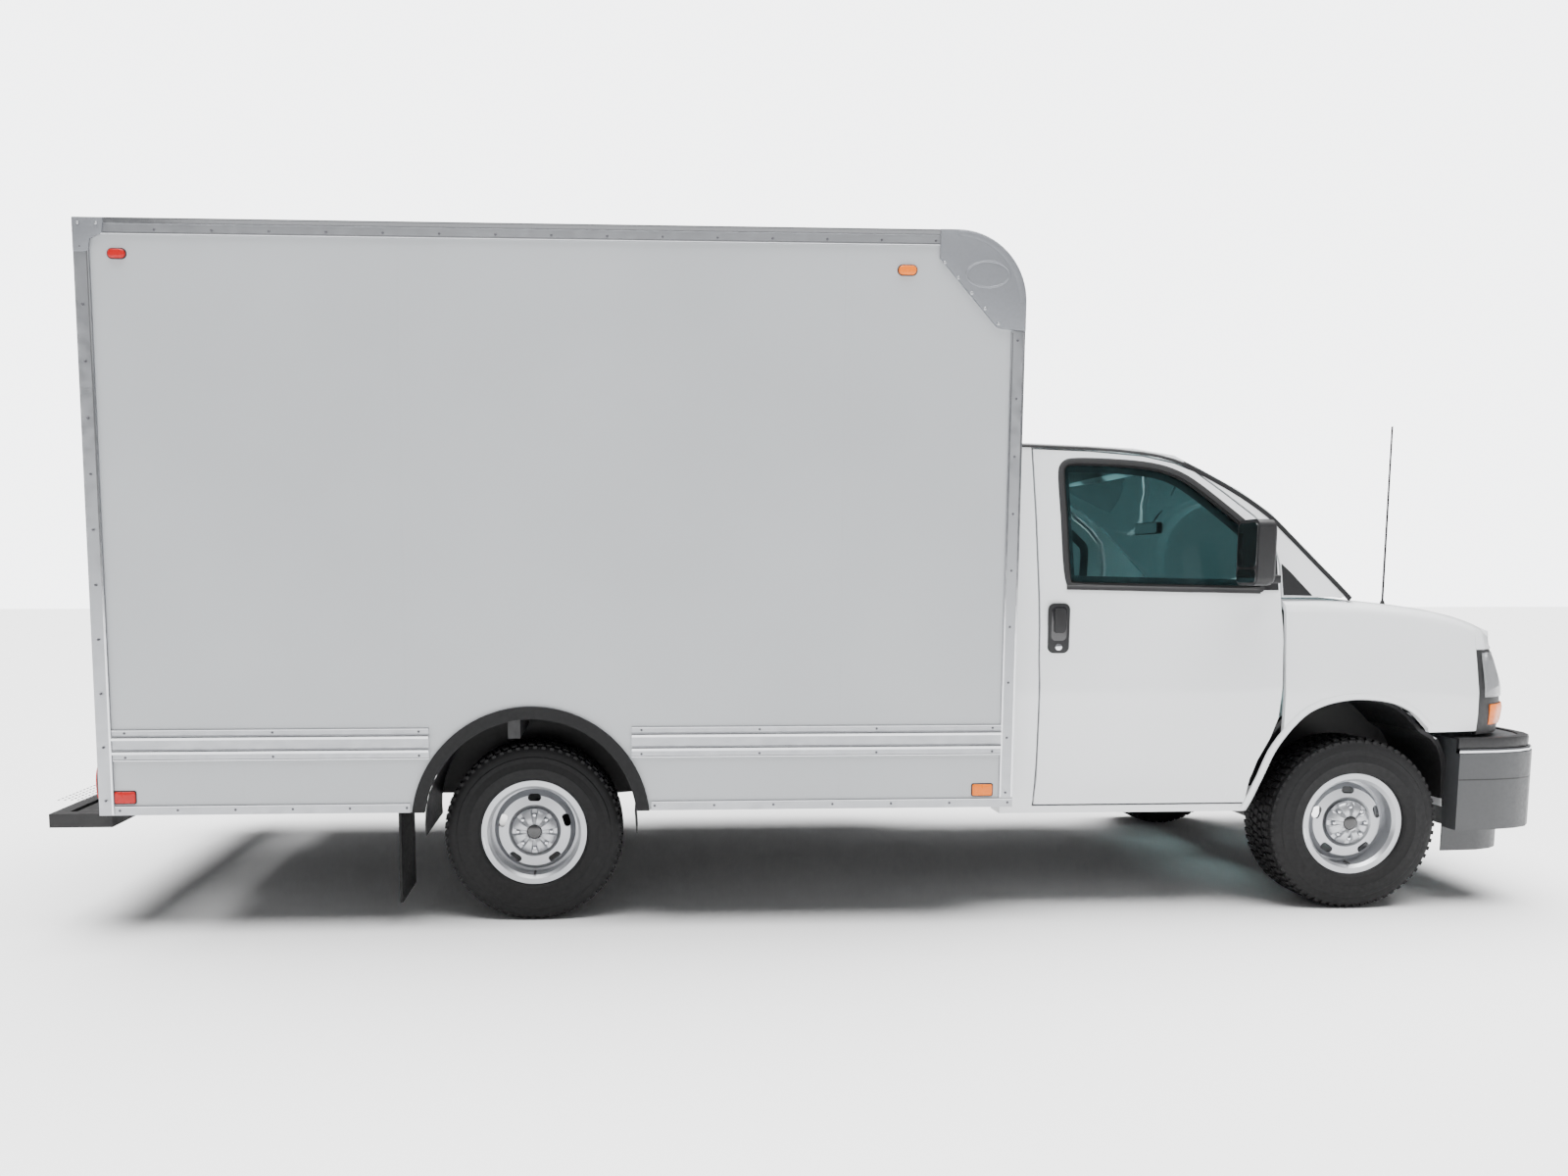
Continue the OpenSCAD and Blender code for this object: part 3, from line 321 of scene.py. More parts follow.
steel = finish("grey_steel", (0.22, 0.22, 0.23), (0.4, 0.6), 45, 0.1, 220, 0.85, dusty=0.5, dust_height=0.8)
silver = finish("wheel_silver", (0.46, 0.47, 0.49), (0.28, 0.36), 120, 0.02, 900, 0.75, dusty=0.12,
    drift=0.02)
brushed = finish("bare_aluminium", (0.40, 0.41, 0.43), (0.28, 0.42), 25, 0.08, 140, 0.9, dusty=0.12,
    dust_height=1.0, stretch=(0.04, 1, 3))
casting = finish("cast_corner", (0.24, 0.25, 0.27), (0.5, 0.62), 90, 0.25, 500, 0.75, dusty=0.05)
rubber = finish("tyre_rubber", (0.007, 0.007, 0.0075), (0.55, 0.7), 60, 0.12, 500, dusty=0.1,
    dust_height=0.5, dust_colour=(0.06, 0.055, 0.05), Specular_IOR_Level=0.25)
seal = finish("seal_rubber", (0.012, 0.012, 0.013), (0.5, 0.62), 60, 0.05, 700, dusty=0.1)
wood = finish("deck_wood", (0.36, 0.22, 0.11), (0.5, 0.7), 30, 0.3, 60, dusty=0.1, stretch=(0.06, 1, 1),
    drift=0.25)
def two_tone(material, height, colour):
    """Below a height the finish turns to another colour, as for a deck on its painted bearers."""
    t = material.node_tree
    shader = t.nodes["Principled BSDF"]
    source = shader.inputs["Base Color"].links[0].from_socket
    where = add(t, "ShaderNodeTexCoord")
    split = add(t, "ShaderNodeSeparateXYZ", [("Vector", where.outputs["Object"])])
    above = add(t, "ShaderNodeMath", [(0, split.outputs["Z"])], operation="GREATER_THAN")
    above.inputs[1].default_value = height
    pick = add(t, "ShaderNodeMix", data_type="RGBA")
    t.links.new(above.outputs[0], pick.inputs["Factor"])
    pick.inputs[6].default_value = (*colour, 1)
    t.links.new(source, pick.inputs[7])
    t.links.new(pick.outputs[2], shader.inputs["Base Color"])

two_tone(wood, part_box("cargo_floor")[1][2] - 0.029, (0.014, 0.014, 0.015))
cabin_grey = finish("cabin_grey", (0.075, 0.075, 0.08), (0.5, 0.65), 60, 0.2, 900, dusty=0.0)
chrome = finish("bright_strip", (0.60, 0.61, 0.63), (0.1, 0.18), 30, metal=1.0, dusty=0.05)
rivet_metal = finish("rivet_metal", (0.42, 0.43, 0.45), (0.35, 0.5), 80, metal=0.9, dusty=0.05)
tinted = plain("tinted_glass", (0.34, 0.52, 0.53), 0.02, Transmission_Weight=1.0, IOR=1.25)
clear = plain("clear_lens", (0.95, 0.96, 0.97), 0.06, Transmission_Weight=0.85, IOR=1.35)
amber = finish("amber_lens", (0.80, 0.17, 0.004), (0.25, 0.32), 40, 0.15, 500, dusty=0.0, drift=0.02,
    Specular_IOR_Level=0.3)
red = finish("red_lens", (0.42, 0.006, 0.006), (0.25, 0.32), 40, 0.15, 500, dusty=0.0, drift=0.02,
    Specular_IOR_Level=0.3)
looking_glass = plain("looking_glass", (0.85, 0.87, 0.88), 0.02, 1.0)
print("finishes", len(bpy.data.materials))

# %% [markdown]
# ## Dressing the frame
# The metal arrives as loose triangles, which would look faceted. A small Geometry Nodes modifier joins
# their corners and smooths every edge flatter than a chosen angle. It changes how light rolls over a
# panel and leaves every corner where it was, so it can stay on the frame's own pieces.

# %% Smoothing tree
def tree_for(name, inputs):
    """A Geometry Nodes tree; gives the tree, its two ends and its input identifiers."""
    tree = bpy.data.node_groups.new(name, "GeometryNodeTree")
    tree.interface.new_socket("Geometry", in_out="INPUT", socket_type="NodeSocketGeometry")
    names = {}
    for label, kind, value in inputs:
        socket = tree.interface.new_socket(label, in_out="INPUT", socket_type=kind)
        if value is not None:
            socket.default_value = value
        names[label] = socket.identifier
    tree.interface.new_socket("Geometry", in_out="OUTPUT", socket_type="NodeSocketGeometry")
    return tree, tree.nodes.new("NodeGroupInput"), tree.nodes.new("NodeGroupOutput"), names

rolling, r_in, r_out, rolling_ids = tree_for("smooth_panels", [("Angle", "NodeSocketFloat", 0.6)])
joined = add(rolling, "GeometryNodeMergeByDistance", [("Geometry", r_in.outputs["Geometry"])],
    Distance=0.00005)
faces = add(rolling, "GeometryNodeSetShadeSmooth", [("Geometry", joined.outputs[0])])
edge = add(rolling, "GeometryNodeInputMeshEdgeAngle")
flat = add(rolling, "FunctionNodeCompare", [(0, edge.outputs["Unsigned Angle"]),
    (1, r_in.outputs["Angle"])], operation="LESS_EQUAL")
edges = rolling.nodes.new("GeometryNodeSetShadeSmooth")
edges.domain = "EDGE"
rolling.links.new(faces.outputs[0], edges.inputs["Geometry"])
rolling.links.new(flat.outputs[0], edges.inputs["Shade Smooth"])
rolling.links.new(edges.outputs[0], r_out.inputs["Geometry"])

# %% Finish for each piece of the frame
dress = {
    paint: "cab_sides cab_roof fenders hood door_left door_right",
    shaded_panel_paint: "box_walls box_front_wall box_roof cargo_door_left cargo_door_right",
    chassis_black: "frame_rails fuel_tank cab_floor rear_bumper",
    trim_black: "dashboard steering_wheel front_fascia mirror_left mirror_right lamps",
    bumper_grey: "front_bumper",
    steel: "front_suspension knuckle_left knuckle_right rear_axle engine_block exhaust_system",
    silver: "rim_front_left rim_front_right rim_rear_left rim_rear_right",
    brushed: "box_rails rear_frame",
    rubber: "tyre_front_left tyre_front_right tyre_rear_left tyre_rear_right arch_trims mud_flaps",
    tinted: "windshield door_glass_left door_glass_right",
    wood: "cargo_floor", cabin_grey: "seats",
}
for material, names in dress.items():
    for name in names.split():
        node = nodes[name]
        for spot in node.material_slots:
            spot.material = material
        if not node.material_slots:
            node.data.materials.append(material)
        roll = node.modifiers.new("smooth_panels", "NODES")
        roll.node_group = rolling
        roll[rolling_ids["Angle"]] = 0.6
print("dressed", sum(len(n.split()) for n in dress.values()), "of", len(nodes))

# %% [markdown]
# ## Making small pieces
# Three helpers make most of the dressing: a swept strip that lies on the cab's skin, a plate with
# softened edges, and a turned profile. Each gives an object at the origin with its place in its mesh,
# already riding on its body.

# %% Helpers for pieces
def piece(name, verts, faces, material, body, slot, angle=0.6, bevel=0.0, segments=2):
    """A closed mesh given in metres; its normals are made to point outwards and its edges softened."""
    mesh = bpy.data.meshes.new(name)
    mesh.from_pydata([tuple(v) for v in verts], [], faces)
    bm = bmesh.new()
    bm.from_mesh(mesh)
    bmesh.ops.remove_doubles(bm, verts=bm.verts, dist=1e-6)
    bmesh.ops.recalc_face_normals(bm, faces=bm.faces)
    if bevel:
        sharp = [e for e in bm.edges if len(e.link_faces) == 2 and e.calc_face_angle(0) > 0.5]
        bmesh.ops.bevel(bm, geom=sharp, offset=bevel, segments=segments, profile=0.6, affect="EDGES",
            clamp_overlap=True)
    for f in bm.faces:
        f.smooth = True
    for e in bm.edges:
        e.smooth = len(e.link_faces) == 2 and e.calc_face_angle(0) < angle
    bm.to_mesh(mesh)
    bm.free()
    mesh.materials.append(material)
    obj = bpy.data.objects.new(name, mesh)
    bpy.context.scene.collection.objects.link(obj)
    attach(obj, body)
    return obj

def loft(rings, closed=True, caps=True):
    """Joins rings of equal length into a tube; gives vertices and faces."""
    n = len(rings[0])
    verts = [p for r in rings for p in r]
    count = len(rings)
    faces = []
    for i in range(count - (0 if closed else 1)):
        a, b = i * n, ((i + 1) % count) * n
        faces += [(a + j, a + (j + 1) % n, b + (j + 1) % n, b + j) for j in range(n)]
    if not closed and caps:
        faces += [tuple(range(n)), tuple(range((count - 1) * n, count * n))]
    return verts, faces

def strip(path, width, out, deep=4, closed=False, lift=None):
    """Rings of a strip along an x, z path, lying on the left side of the cab."""
    rings = []
    n = len(path)
    for i, (x, z) in enumerate(path):
        a = path[(i - 1) % n] if closed or i else path[i]
        b = path[(i + 1) % n] if closed or i < n - 1 else path[i]
        dx, dz = b[0] - a[0], b[1] - a[1]
        size = math.hypot(dx, dz) or 1
        nx, nz = -dz / size, dx / size
        ring = []
        shape = [(-1, -deep), (-1, out * 0.55), (-0.6, out), (0.6, out), (1, out * 0.55), (1, -deep)]
        for side, height in shape:
            px, pz = x + nx * width / 2 * side, z + nz * width / 2 * side
            y = (lift(px, pz) if lift else half_width(px, pz)) + height
            ring.append(at(px, y, pz))
        rings.append(ring)
    return loft(rings, closed)

def both(name, made, material, bodies, slot, **more):
    """The same mesh on the left and, mirrored, on the right."""
    verts, faces = made
    if isinstance(bodies, str):
        bodies = (bodies, bodies)
    left = piece(name + "_left", verts, faces, material, bodies[0], slot, **more)
    right = piece(name + "_right", [Vector((v[0], -v[1], v[2])) for v in verts], faces, material, bodies[1],
        slot, **more)
    return left, right

def plate(outline, y0, y1):
    """A flat plate with an x, z outline, from one depth to another."""
    n = len(outline)
    verts = [at(x, y0, z) for x, z in outline] + [at(x, y1, z) for x, z in outline]
    faces = [tuple(range(n)), tuple(range(n, 2 * n))]
    faces += [(i, (i + 1) % n, n + (i + 1) % n, n + i) for i in range(n)]
    return verts, faces

def slab(a, b):
    """A block between two corners, in millimetres from the front axle."""
    x, y, z = zip(a, b)
    return plate([(x[0], z[0]), (x[1], z[0]), (x[1], z[1]), (x[0], z[1])], y[0], y[1])

def rounded(x0, x1, z0, z1, r, steps=5):
    """An x, z outline with round corners."""
    points = []
    for cx, cz, start in [(x1 - r, z1 - r, 0), (x0 + r, z1 - r, 90), (x0 + r, z0 + r, 180),
        (x1 - r, z0 + r, 270)]:
        for k in range(steps + 1):
            a = math.radians(start + 90 * k / steps)
            points.append((cx + r * math.cos(a), cz + r * math.sin(a)))
    return points

def turned(profile, steps, place, side=1):
    """A closed profile of (radius, along the axle) turned about a crosswise axle; place is its middle."""
    rings = []
    for i in range(steps):
        a = 2 * math.pi * i / steps
        rings.append([Vector((place[0] + r * math.cos(a) / 1000, place[1] + side * w / 1000,
            place[2] + r * math.sin(a) / 1000)) for r, w in profile])
    return loft(rings)

chassis = body_of(nodes["frame_rails"])
chassis = chassis if isinstance(chassis, str) else list(chassis)[0]
doors = ("cab_door_left", "cab_door_right")
print("root body", chassis)

# %% [markdown]
# ## Tyres and wheels
# A tyre is a turned profile with three grooves and a stepped sidewall. Its tread blocks repeat round the
# ring, which is work for Geometry Nodes: one small block is set out round the axle, row by row, and
# turned to face outwards. The row's radius, count and block size are inputs, so the shoulder rows can be
# longer than the middle.

# %% Tread tree
tread, t_in, t_out, tread_ids = tree_for("tread_row", [("Radius", "NodeSocketFloat", 0.37),
    ("Count", "NodeSocketInt", 72), ("Size", "NodeSocketVector", (0.02, 0.02, 0.01)),
    ("Centre", "NodeSocketVector", (0, 0, 0)), ("Shift", "NodeSocketFloat", 0.0),
    ("Material", "NodeSocketMaterial", None)])
ring = add(tread, "GeometryNodeMeshCircle", [("Vertices", t_in.outputs["Count"]),
    ("Radius", t_in.outputs["Radius"])])
upright = add(tread, "GeometryNodeTransform", [("Geometry", ring.outputs[0])])
upright.inputs["Rotation"].default_value = (math.pi / 2, 0, 0)
spun = add(tread, "GeometryNodeTransform", [("Geometry", upright.outputs[0])])
turn = add(tread, "ShaderNodeCombineXYZ", [("Y", t_in.outputs["Shift"])])
tread.links.new(turn.outputs[0], spun.inputs["Rotation"])
where = add(tread, "GeometryNodeInputPosition")
facing = tread.nodes.new("FunctionNodeAlignRotationToVector")
facing.axis, facing.pivot_axis = "Z", "Y"
tread.links.new(where.outputs[0], facing.inputs["Vector"])
block = add(tread, "GeometryNodeMeshCube", [("Size", t_in.outputs["Size"])])
set_out = add(tread, "GeometryNodeInstanceOnPoints", [("Points", spun.outputs[0]),
    ("Instance", block.outputs[0]), ("Rotation", facing.outputs[0])])
real = add(tread, "GeometryNodeRealizeInstances", [("Geometry", set_out.outputs[0])])
moved = add(tread, "GeometryNodeTransform", [("Geometry", real.outputs[0]),
    ("Translation", t_in.outputs["Centre"])])
coat = add(tread, "GeometryNodeSetMaterial", [("Geometry", moved.outputs[0]),
    ("Material", t_in.outputs["Material"])])
tread.links.new(coat.outputs[0], t_out.inputs["Geometry"])

# %% Grow a tree into a plain mesh
def grown(name, tree, names, values, source=None):
    """Runs a tree on a source mesh and gives back a plain mesh with the result."""
    base = bpy.data.objects.new("grow_" + name, source or bpy.data.meshes.new("grow_" + name))
    bpy.context.scene.collection.objects.link(base)
    step = base.modifiers.new("grow", "NODES")
    step.node_group = tree
    for label, value in values.items():
        step[names[label]] = value
    bpy.context.view_layer.update()
    ready = base.evaluated_get(bpy.context.evaluated_depsgraph_get())
    mesh = bpy.data.meshes.new_from_object(ready)
    bpy.data.objects.remove(base)
    return mesh

def merged(name, meshes, material, body, angle=0.6):
    """Several plain meshes joined in one riding piece."""
    bm = bmesh.new()
    for mesh in meshes:
        bm.from_mesh(mesh)
    for f in bm.faces:
        f.material_index = 0
        f.smooth = True
    for e in bm.edges:
        e.smooth = len(e.link_faces) == 2 and e.calc_face_angle(0) < angle
    mesh = bpy.data.meshes.new(name)
    bm.to_mesh(mesh)
    bm.free()
    mesh.materials.clear()
    mesh.materials.append(material)
    obj = bpy.data.objects.new(name, mesh)
    bpy.context.scene.collection.objects.link(obj)
    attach(obj, body)
    return obj

# %% Tyres
def tyre_profile():
    w, rim, r = 122.5, 203, 1000 * wheel_radius
    outside = [(rim + 1, w - 29), (rim + 17, w - 27), (rim + 22, w - 12), (rim + 30, w - 6),
        (rim + 48, w - 3.5),
        (rim + 66, w - 1), (rim + 69, w + 0), (rim + 72, w - 1.5), (rim + 92, w - 1), (rim + 96, w - 3),
        (r - 72, w - 3), (r - 56, w - 5), (r - 52, w - 8), (r - 38, w - 10), (r - 22, w - 15),
        (r - 12, w - 24)]
    crown = [(r - 10, w - 33)]
    for groove in (48, 18, -18, -48):
        crown += [(r - 9, groove + 5), (r - 14, groove + 4), (r - 14, groove - 4), (r - 9, groove - 5)]
    crown += [(r - 10, 33 - w)]
    inside = [(rim + 1, w - 36), (rim + 24, w - 33), (rim + 70, w - 14), (r - 50, w - 22), (r - 20, w - 60)]
    back = [(a, -b) for a, b in reversed(outside)]
    return outside + crown + back + [(a, -b) for a, b in inside] + [(a, b) for a, b in reversed(inside)]

wheels = [("front_left", 1, front_x), ("front_right", -1, front_x), ("rear_left", 1, rear_x),
    ("rear_right", -1, rear_x)]
for label, side, x in wheels:
    hub = (x, side * tyre_y, wheel_radius)
    body = "wheel_" + label
    verts, faces = turned(tyre_profile(), 96, hub, side)
    carcass = piece("tyre_carcass_" + label, verts, faces, rubber, body, "tyre", angle=0.5)
    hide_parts("tyre_" + label)
    rows = []
    for y, size, count, shift in [(0, (0.026, 0.024, 0.0105), 64, 0),
        (33, (0.024, 0.022, 0.0105), 64, 0.04),
            (-33, (0.024, 0.022, 0.0105), 64, -0.04), (68, (0.024, 0.034, 0.0095), 64, 0.02),
            (-68, (0.024, 0.034, 0.0095), 64, -0.02)]:
        top = wheel_radius - 0.0004 - (0.0012 if abs(y) > 60 else 0) - size[0] ** 2 / 8 / wheel_radius
        rows.append(grown("tread", tread, tread_ids, {"Radius": top - size[2] / 2, "Count": count,
            "Size": size,
            "Centre": (hub[0], hub[1] + y / 1000, hub[2]), "Shift": shift, "Material": rubber}))
    # Short lugs run over the shoulder on to the sidewall
    for y in (-1, 1):
        rows.append(grown("lugs", tread, tread_ids, {"Radius": wheel_radius - 0.0205, "Count": 64,
            "Size": (0.017, 0.016, 0.022), "Centre": (hub[0], hub[1] + y * 0.0985, hub[2]), "Shift": 0.02,
            "Material": rubber}))
    merged("tyre_tread_" + label, rows, rubber, body)
print("tyres", len(wheels), "profile points", len(tyre_profile()))

# %% [markdown]
# The wheel itself comes from the frame, with its oval hand holes. On top go the parts that catch the eye:
# the silver centre cap with a pocket for each stud, the dark disc in its middle, the studs' nuts, a valve
# and one small balance weight clipped to the lip.

# %% Wheel centres
def ring_of(make, count, radius, phase=0.0):
    return [make(radius * math.cos(phase + 2 * math.pi * k / count),
        radius * math.sin(phase + 2 * math.pi * k / count),
        phase + 2 * math.pi * k / count) for k in range(count)]

def tube(place, side, a, b, profile_r, steps, dx=0.0, dz=0.0, angle=0.0, shape=None):
    """Rings for a short closed form along a wheel's axle at an offset; shape gives (radius, depth) pairs."""
    verts, rings = [], []
    for r, w in shape or [(profile_r, a), (profile_r, b)]:
        rings.append([Vector((place[0] + (dx + r * math.cos(angle + 2 * math.pi * k / steps)) / 1000,
            place[1] + side * w / 1000, place[2] + (dz + r * math.sin(angle + 2 * math.pi * k / steps)) / 1000))
            for k in range(steps)])
    return loft(rings, closed=False)

def together(parts):
    verts, faces = [], []
    for v, f in parts:
        base = len(verts)
        verts += v
        faces += [tuple(i + base for i in face) for face in f]
    return verts, faces

for label, side, x in wheels:
    hub = (x, side * tyre_y, wheel_radius)
    body = "wheel_" + label
    # The cap is a shallow dished cup with eight flat-bottomed pockets cut in its edge
    steps, rings = 160, []
    for r, w in [(30, 66.5), (30, 88), (34, 92), (52, 94), (70, 91), (84, 84), (94, 72), (95, 66.5)]:
        ring = []
        for k in range(steps):
            a = 2 * math.pi * k / steps
            pocket = smooth((math.cos(8 * a) - 0.15) / 0.45) * smooth((r - 46) / 12)
            ring.append(Vector((hub[0] + r * math.cos(a) / 1000,
                hub[1] + side * (w - pocket * max(0, w - 70) * 0.85) / 1000,
                hub[2] + r * math.sin(a) / 1000)))
        rings.append(ring)
    verts, faces = loft(rings)
    piece("wheel_cap_" + label, verts, faces, silver, body, "wheel_silver", angle=0.9)
    disc = tube(hub, side, 0, 0, 0, 40, shape=[(29.5, 70), (29.5, 86), (27, 89), (20, 90.5), (0.5, 91)])
    piece("wheel_disc_" + label, *disc, gloss_black, body, "black_plastic")
    nuts = together(ring_of(lambda dx, dz, a: tube(hub, side, 0, 0, 0, 6, dx, dz, a,
        [(10, 68), (10, 82), (7, 86), (2, 87)]), 8, 70))
    piece("wheel_nuts_" + label, *nuts, chrome, body, "wheel_silver")
    valve = tube(hub, side, 0, 0, 0, 12, 0, -176, 0, [(5, 60), (5, 84), (4, 86), (4, 98), (2, 100)])
    piece("valve_" + label, *valve, seal, body, "black_rubber")
    # The balance weight hugs the rim's lip
    rings = []
    for k in range(7):
        a = math.radians(205 + side * 20 + k * 2.2)
        rings.append([Vector((hub[0] + r * math.cos(a) / 1000, hub[1] + side * w / 1000,
            hub[2] + r * math.sin(a) / 1000))
            for r, w in [(208, 97.5), (219, 97.5), (219.5, 101), (209, 102)]])
    piece("balance_weight_" + label, *loft(rings, closed=False), paint, body, "bare_aluminium",
        bevel=0.0006)
print("wheels dressed")

# %% [markdown]
# ## Seals, gutters and flares
# These all follow the cab's skin: a soft black seal round each window, the gutter over the door and down
# the windshield pillar, a lip round the front wheel opening, and the black triangle at the foot of the
# window. They are strips swept along an x, z path and lifted to the skin at every point.

# %% Paths on the cab
def softened(path, times=2, closed=True):
    """Rounds the corners of a path by cutting them."""
    for _ in range(times):
        new = [] if closed else [path[0]]
        count = len(path) if closed else len(path) - 1
        for i in range(count):
            a, b = path[i], path[(i + 1) % len(path)]
            cut = [(a[0] * 0.75 + b[0] * 0.25, a[1] * 0.75 + b[1] * 0.25),
                (a[0] * 0.25 + b[0] * 0.75, a[1] * 0.25 + b[1] * 0.75)]
            new += cut
        path = new if closed else new + [path[-1]]
    return path

def beside(path, away, closed=False):
    """The same path moved sideways, to its left for a positive distance."""
    out = []
    n = len(path)
    for i, (x, z) in enumerate(path):
        a = path[(i - 1) % n] if closed or i else path[i]
        b = path[(i + 1) % n] if closed or i < n - 1 else path[i]
        dx, dz = b[0] - a[0], b[1] - a[1]
        size = math.hypot(dx, dz) or 1
        out.append((x - dz / size * away, z + dx / size * away))
    return out

window_outline = [(-1290, 1420), (-1292, 1700), (-1294, 1885), (-1280, 1918), (-1248, 1934), (-1069, 1930),
    (-906, 1918), (-798, 1891), (-711, 1843), (-587, 1743), (-470, 1645), (-440, 1600), (-432, 1400),
    (-445, 1382), (-1262, 1400)]
arch_inner = [(-474, 437), (-448, 505), (-408, 635), (-366, 727), (-270, 847), (-189, 892), (-97, 914),
    (-4, 921), (137, 905), (234, 862), (312, 786)]
pillar_edge = [(-17, 1354), (-79, 1418), (-281, 1618), (-375, 1712), (-512, 1811), (-679, 1903),
    (-747, 1937)]

# %% Seals and gutters
frame_path = softened(beside(window_outline, 3, True), 2)
both("window_seal", strip(frame_path, 22, 3.5, 16, closed=True), seal, doors, "black_rubber")
inner_path = softened(beside(window_outline, -13, True), 2)
both("window_channel", strip(inner_path, 12, -9, 14, closed=True), seal, doors, "black_rubber")
belt = [(-1292 + k * 84.5, 1397 - k * 1.8) for k in range(11)]
both("belt_seal", strip(belt, 20, 6, 8), seal, doors, "black_rubber")
gutter = [(-1546, 1999), (-1407, 1996), (-1174, 1987), (-1050, 1979), (-930, 1967), (-860, 1956),
    (-792, 1938), (-741, 1918)]
both("gutter", strip(gutter, 13, 5, 3), trim_black, chassis, "black_plastic")
pillar = beside(softened(pillar_edge, 2, closed=False), 13)
both("pillar_trim", strip(pillar, 20, 2.5, 6), trim_black, chassis, "black_plastic")
print("window seal points", len(frame_path))

# %% Wheel opening lips and liners
lip = beside(arch_inner, 13.5)
both("arch_lip", strip(softened(lip, 2, closed=False), 25, 7, 4), paint, chassis, "white_paint")
seam = beside(arch_inner, 1.5)
both("arch_edge", strip(softened(seam, 2, closed=False), 3, 8.5, 10), paint, chassis, "white_paint")
arch_full = [(-471, 440)] + arch_inner[1:] + [(320, 772), (396, 728), (436, 640), (442, 470)]

def liner(path, y0, y1, thick=4):
    """A curved sheet from one depth to another, under a path."""
    rings = []
    under = beside(path, -thick)
    for (x, z), (u, w) in zip(path, under):
        rings.append([at(x, y0, z), at(x, y1, z), at(u, y1, w), at(u, y0, w)])
    return loft(rings, closed=False)

both("wheel_liner", liner(beside(softened(arch_full, 1, closed=False), -1.5), 561, 890), trim_black,
    chassis, "black_plastic", angle=0.4)
arch_z = 440
tub = [(-wheelbase - 432 * math.cos(math.radians(a)), arch_z + 432 * math.sin(math.radians(a)))
    for a in range(-6, 187, 6)]
both("wheel_tub", liner(tub, 640, 1089), trim_black, chassis, "black_plastic", angle=0.4)
inside = plate([p for p in tub if p[1] > 470], 640, 644)
both("wheel_tub_wall", inside, trim_black, chassis, "black_plastic")
liner_edge = softened(arch_full, 1, closed=False)
rings = [[at(a[0], 880, a[1]), at(a[0], 901, a[1]), at(b[0], 901, b[1]), at(b[0], 880, b[1])]
    for a, b in zip(beside(liner_edge, -5), beside(liner_edge, 11))]
both("liner_edge", loft(rings, closed=False), trim_black, chassis, "black_plastic", angle=0.4)
front_flange = [(446, 436), (456, 436), (456, 640), (408, 735), (396, 728), (436, 640)]
both("liner_flange", plate(front_flange, 556, 903), trim_black, chassis, "black_plastic")
apron = [(x, z) for x, z in softened(arch_full, 1, closed=False) if z > 470]
both("inner_apron", plate([(-175, 535), (-175, 470), (apron[0][0] + 2, 470)] + [(x * 0.99, z - 3) for x,
    z in apron]
    + [(apron[-1][0] - 6, 470), (175, 470), (175, 535)], 560.4, 562.4), trim_black, chassis,
    "black_plastic")
print("liners made")

# %% [markdown]
# The triangle at the foot of the window and the black corner at the foot of the windshield pillar are
# patches: a row of stations along the truck, each with its own lower and upper edge, lifted to the skin.
# The door handle is a stack of flat plates set at the skin.

# %% Patches on the skin
def patch_on_skin(stations, out, deep=4, rows=5):
    """Stations are (x, lowest z, highest z); gives a thin plate that follows the left side."""
    rings = []
    for x, low, high in stations:
        outer = [at(x, half_width(x, low + (high - low) * k / rows) + out, low + (high - low) * k / rows)
            for k in range(rows + 1)]
        inner = [at(x, half_width(x, low + (high - low) * k / rows) - deep, low + (high - low) * k / rows)
            for k in range(rows, -1, -1)]
        rings.append(outer + inner)
    return loft(rings, closed=False)

sail = [(-431, 1384, 1606), (-420, 1384, 1596), (-400, 1384, 1572), (-385, 1384, 1548), (-370, 1384, 1536),
    (-364, 1384, 1530)]
both("window_corner", patch_on_skin(sail, 2.5), trim_black, doors, "black_plastic")
corner = [(-342, 1362, 1496), (-300, 1362, 1458), (-260, 1361, 1416), (-225, 1360, 1380),
    (-208, 1360, 1363)]
both("pillar_foot", patch_on_skin(corner, 2.5), trim_black, chassis, "black_plastic")

# %% Door handles
hx, hz = -1330, 1226
def sunk(outline, out, deep=6, x=hx, z=hz):
    y = half_width(x, z)
    return plate(outline, y - deep, y + out)
both("handle_bezel", sunk(rounded(hx - 46, hx + 46, hz - 105, hz + 105, 26), 5), trim_black, doors,
    "black_plastic", bevel=0.0025)
both("handle_bowl", sunk(rounded(hx - 33, hx + 33, hz - 52, hz + 92, 20), 5.6), gloss_black, doors,
    "black_plastic", bevel=0.001)
both("handle_paddle", sunk(rounded(hx - 22, hx + 26, hz - 20, hz + 84, 14), 13), trim_black, doors,
    "black_plastic", bevel=0.003)
lock_r, lock_drop, lock_sides = 15, 78, 12
lock_outline = [(hx + lock_r * math.cos(a / lock_sides * math.tau), hz - lock_drop + lock_r *
    math.sin(a / lock_sides * math.tau)) for a in range(lock_sides)]
lock_ring = together([plate(lock_outline, half_width(hx, hz) + 2, half_width(hx, hz) + 8)])
both("key_cylinder", lock_ring, chrome, doors, "bare_aluminium", bevel=0.0015)
print("door furniture done")

# %% [markdown]
# ## Mirrors
# The frame has plain blocks where the mirrors go. Each is replaced with a rounded housing, a looking
# glass set in its rear face with a dark rim, and two short arms reaching to the corner of the door frame.

# %% Mirrors
def housing():
    rings = []
    for x, grow in [(-606, -8), (-604, 0), (-590, 3), (-560, 3), (-536, -2), (-522, -16), (-515, -40)]:
        outline = rounded(1033 - grow * 0.8, 1195 + min(0, grow), 1406 - min(0, grow) * 0.4,
            1674 + min(0, grow), 34)
        rings.append([at(x, y, z) for y, z in outline])
    return loft(rings, closed=False)

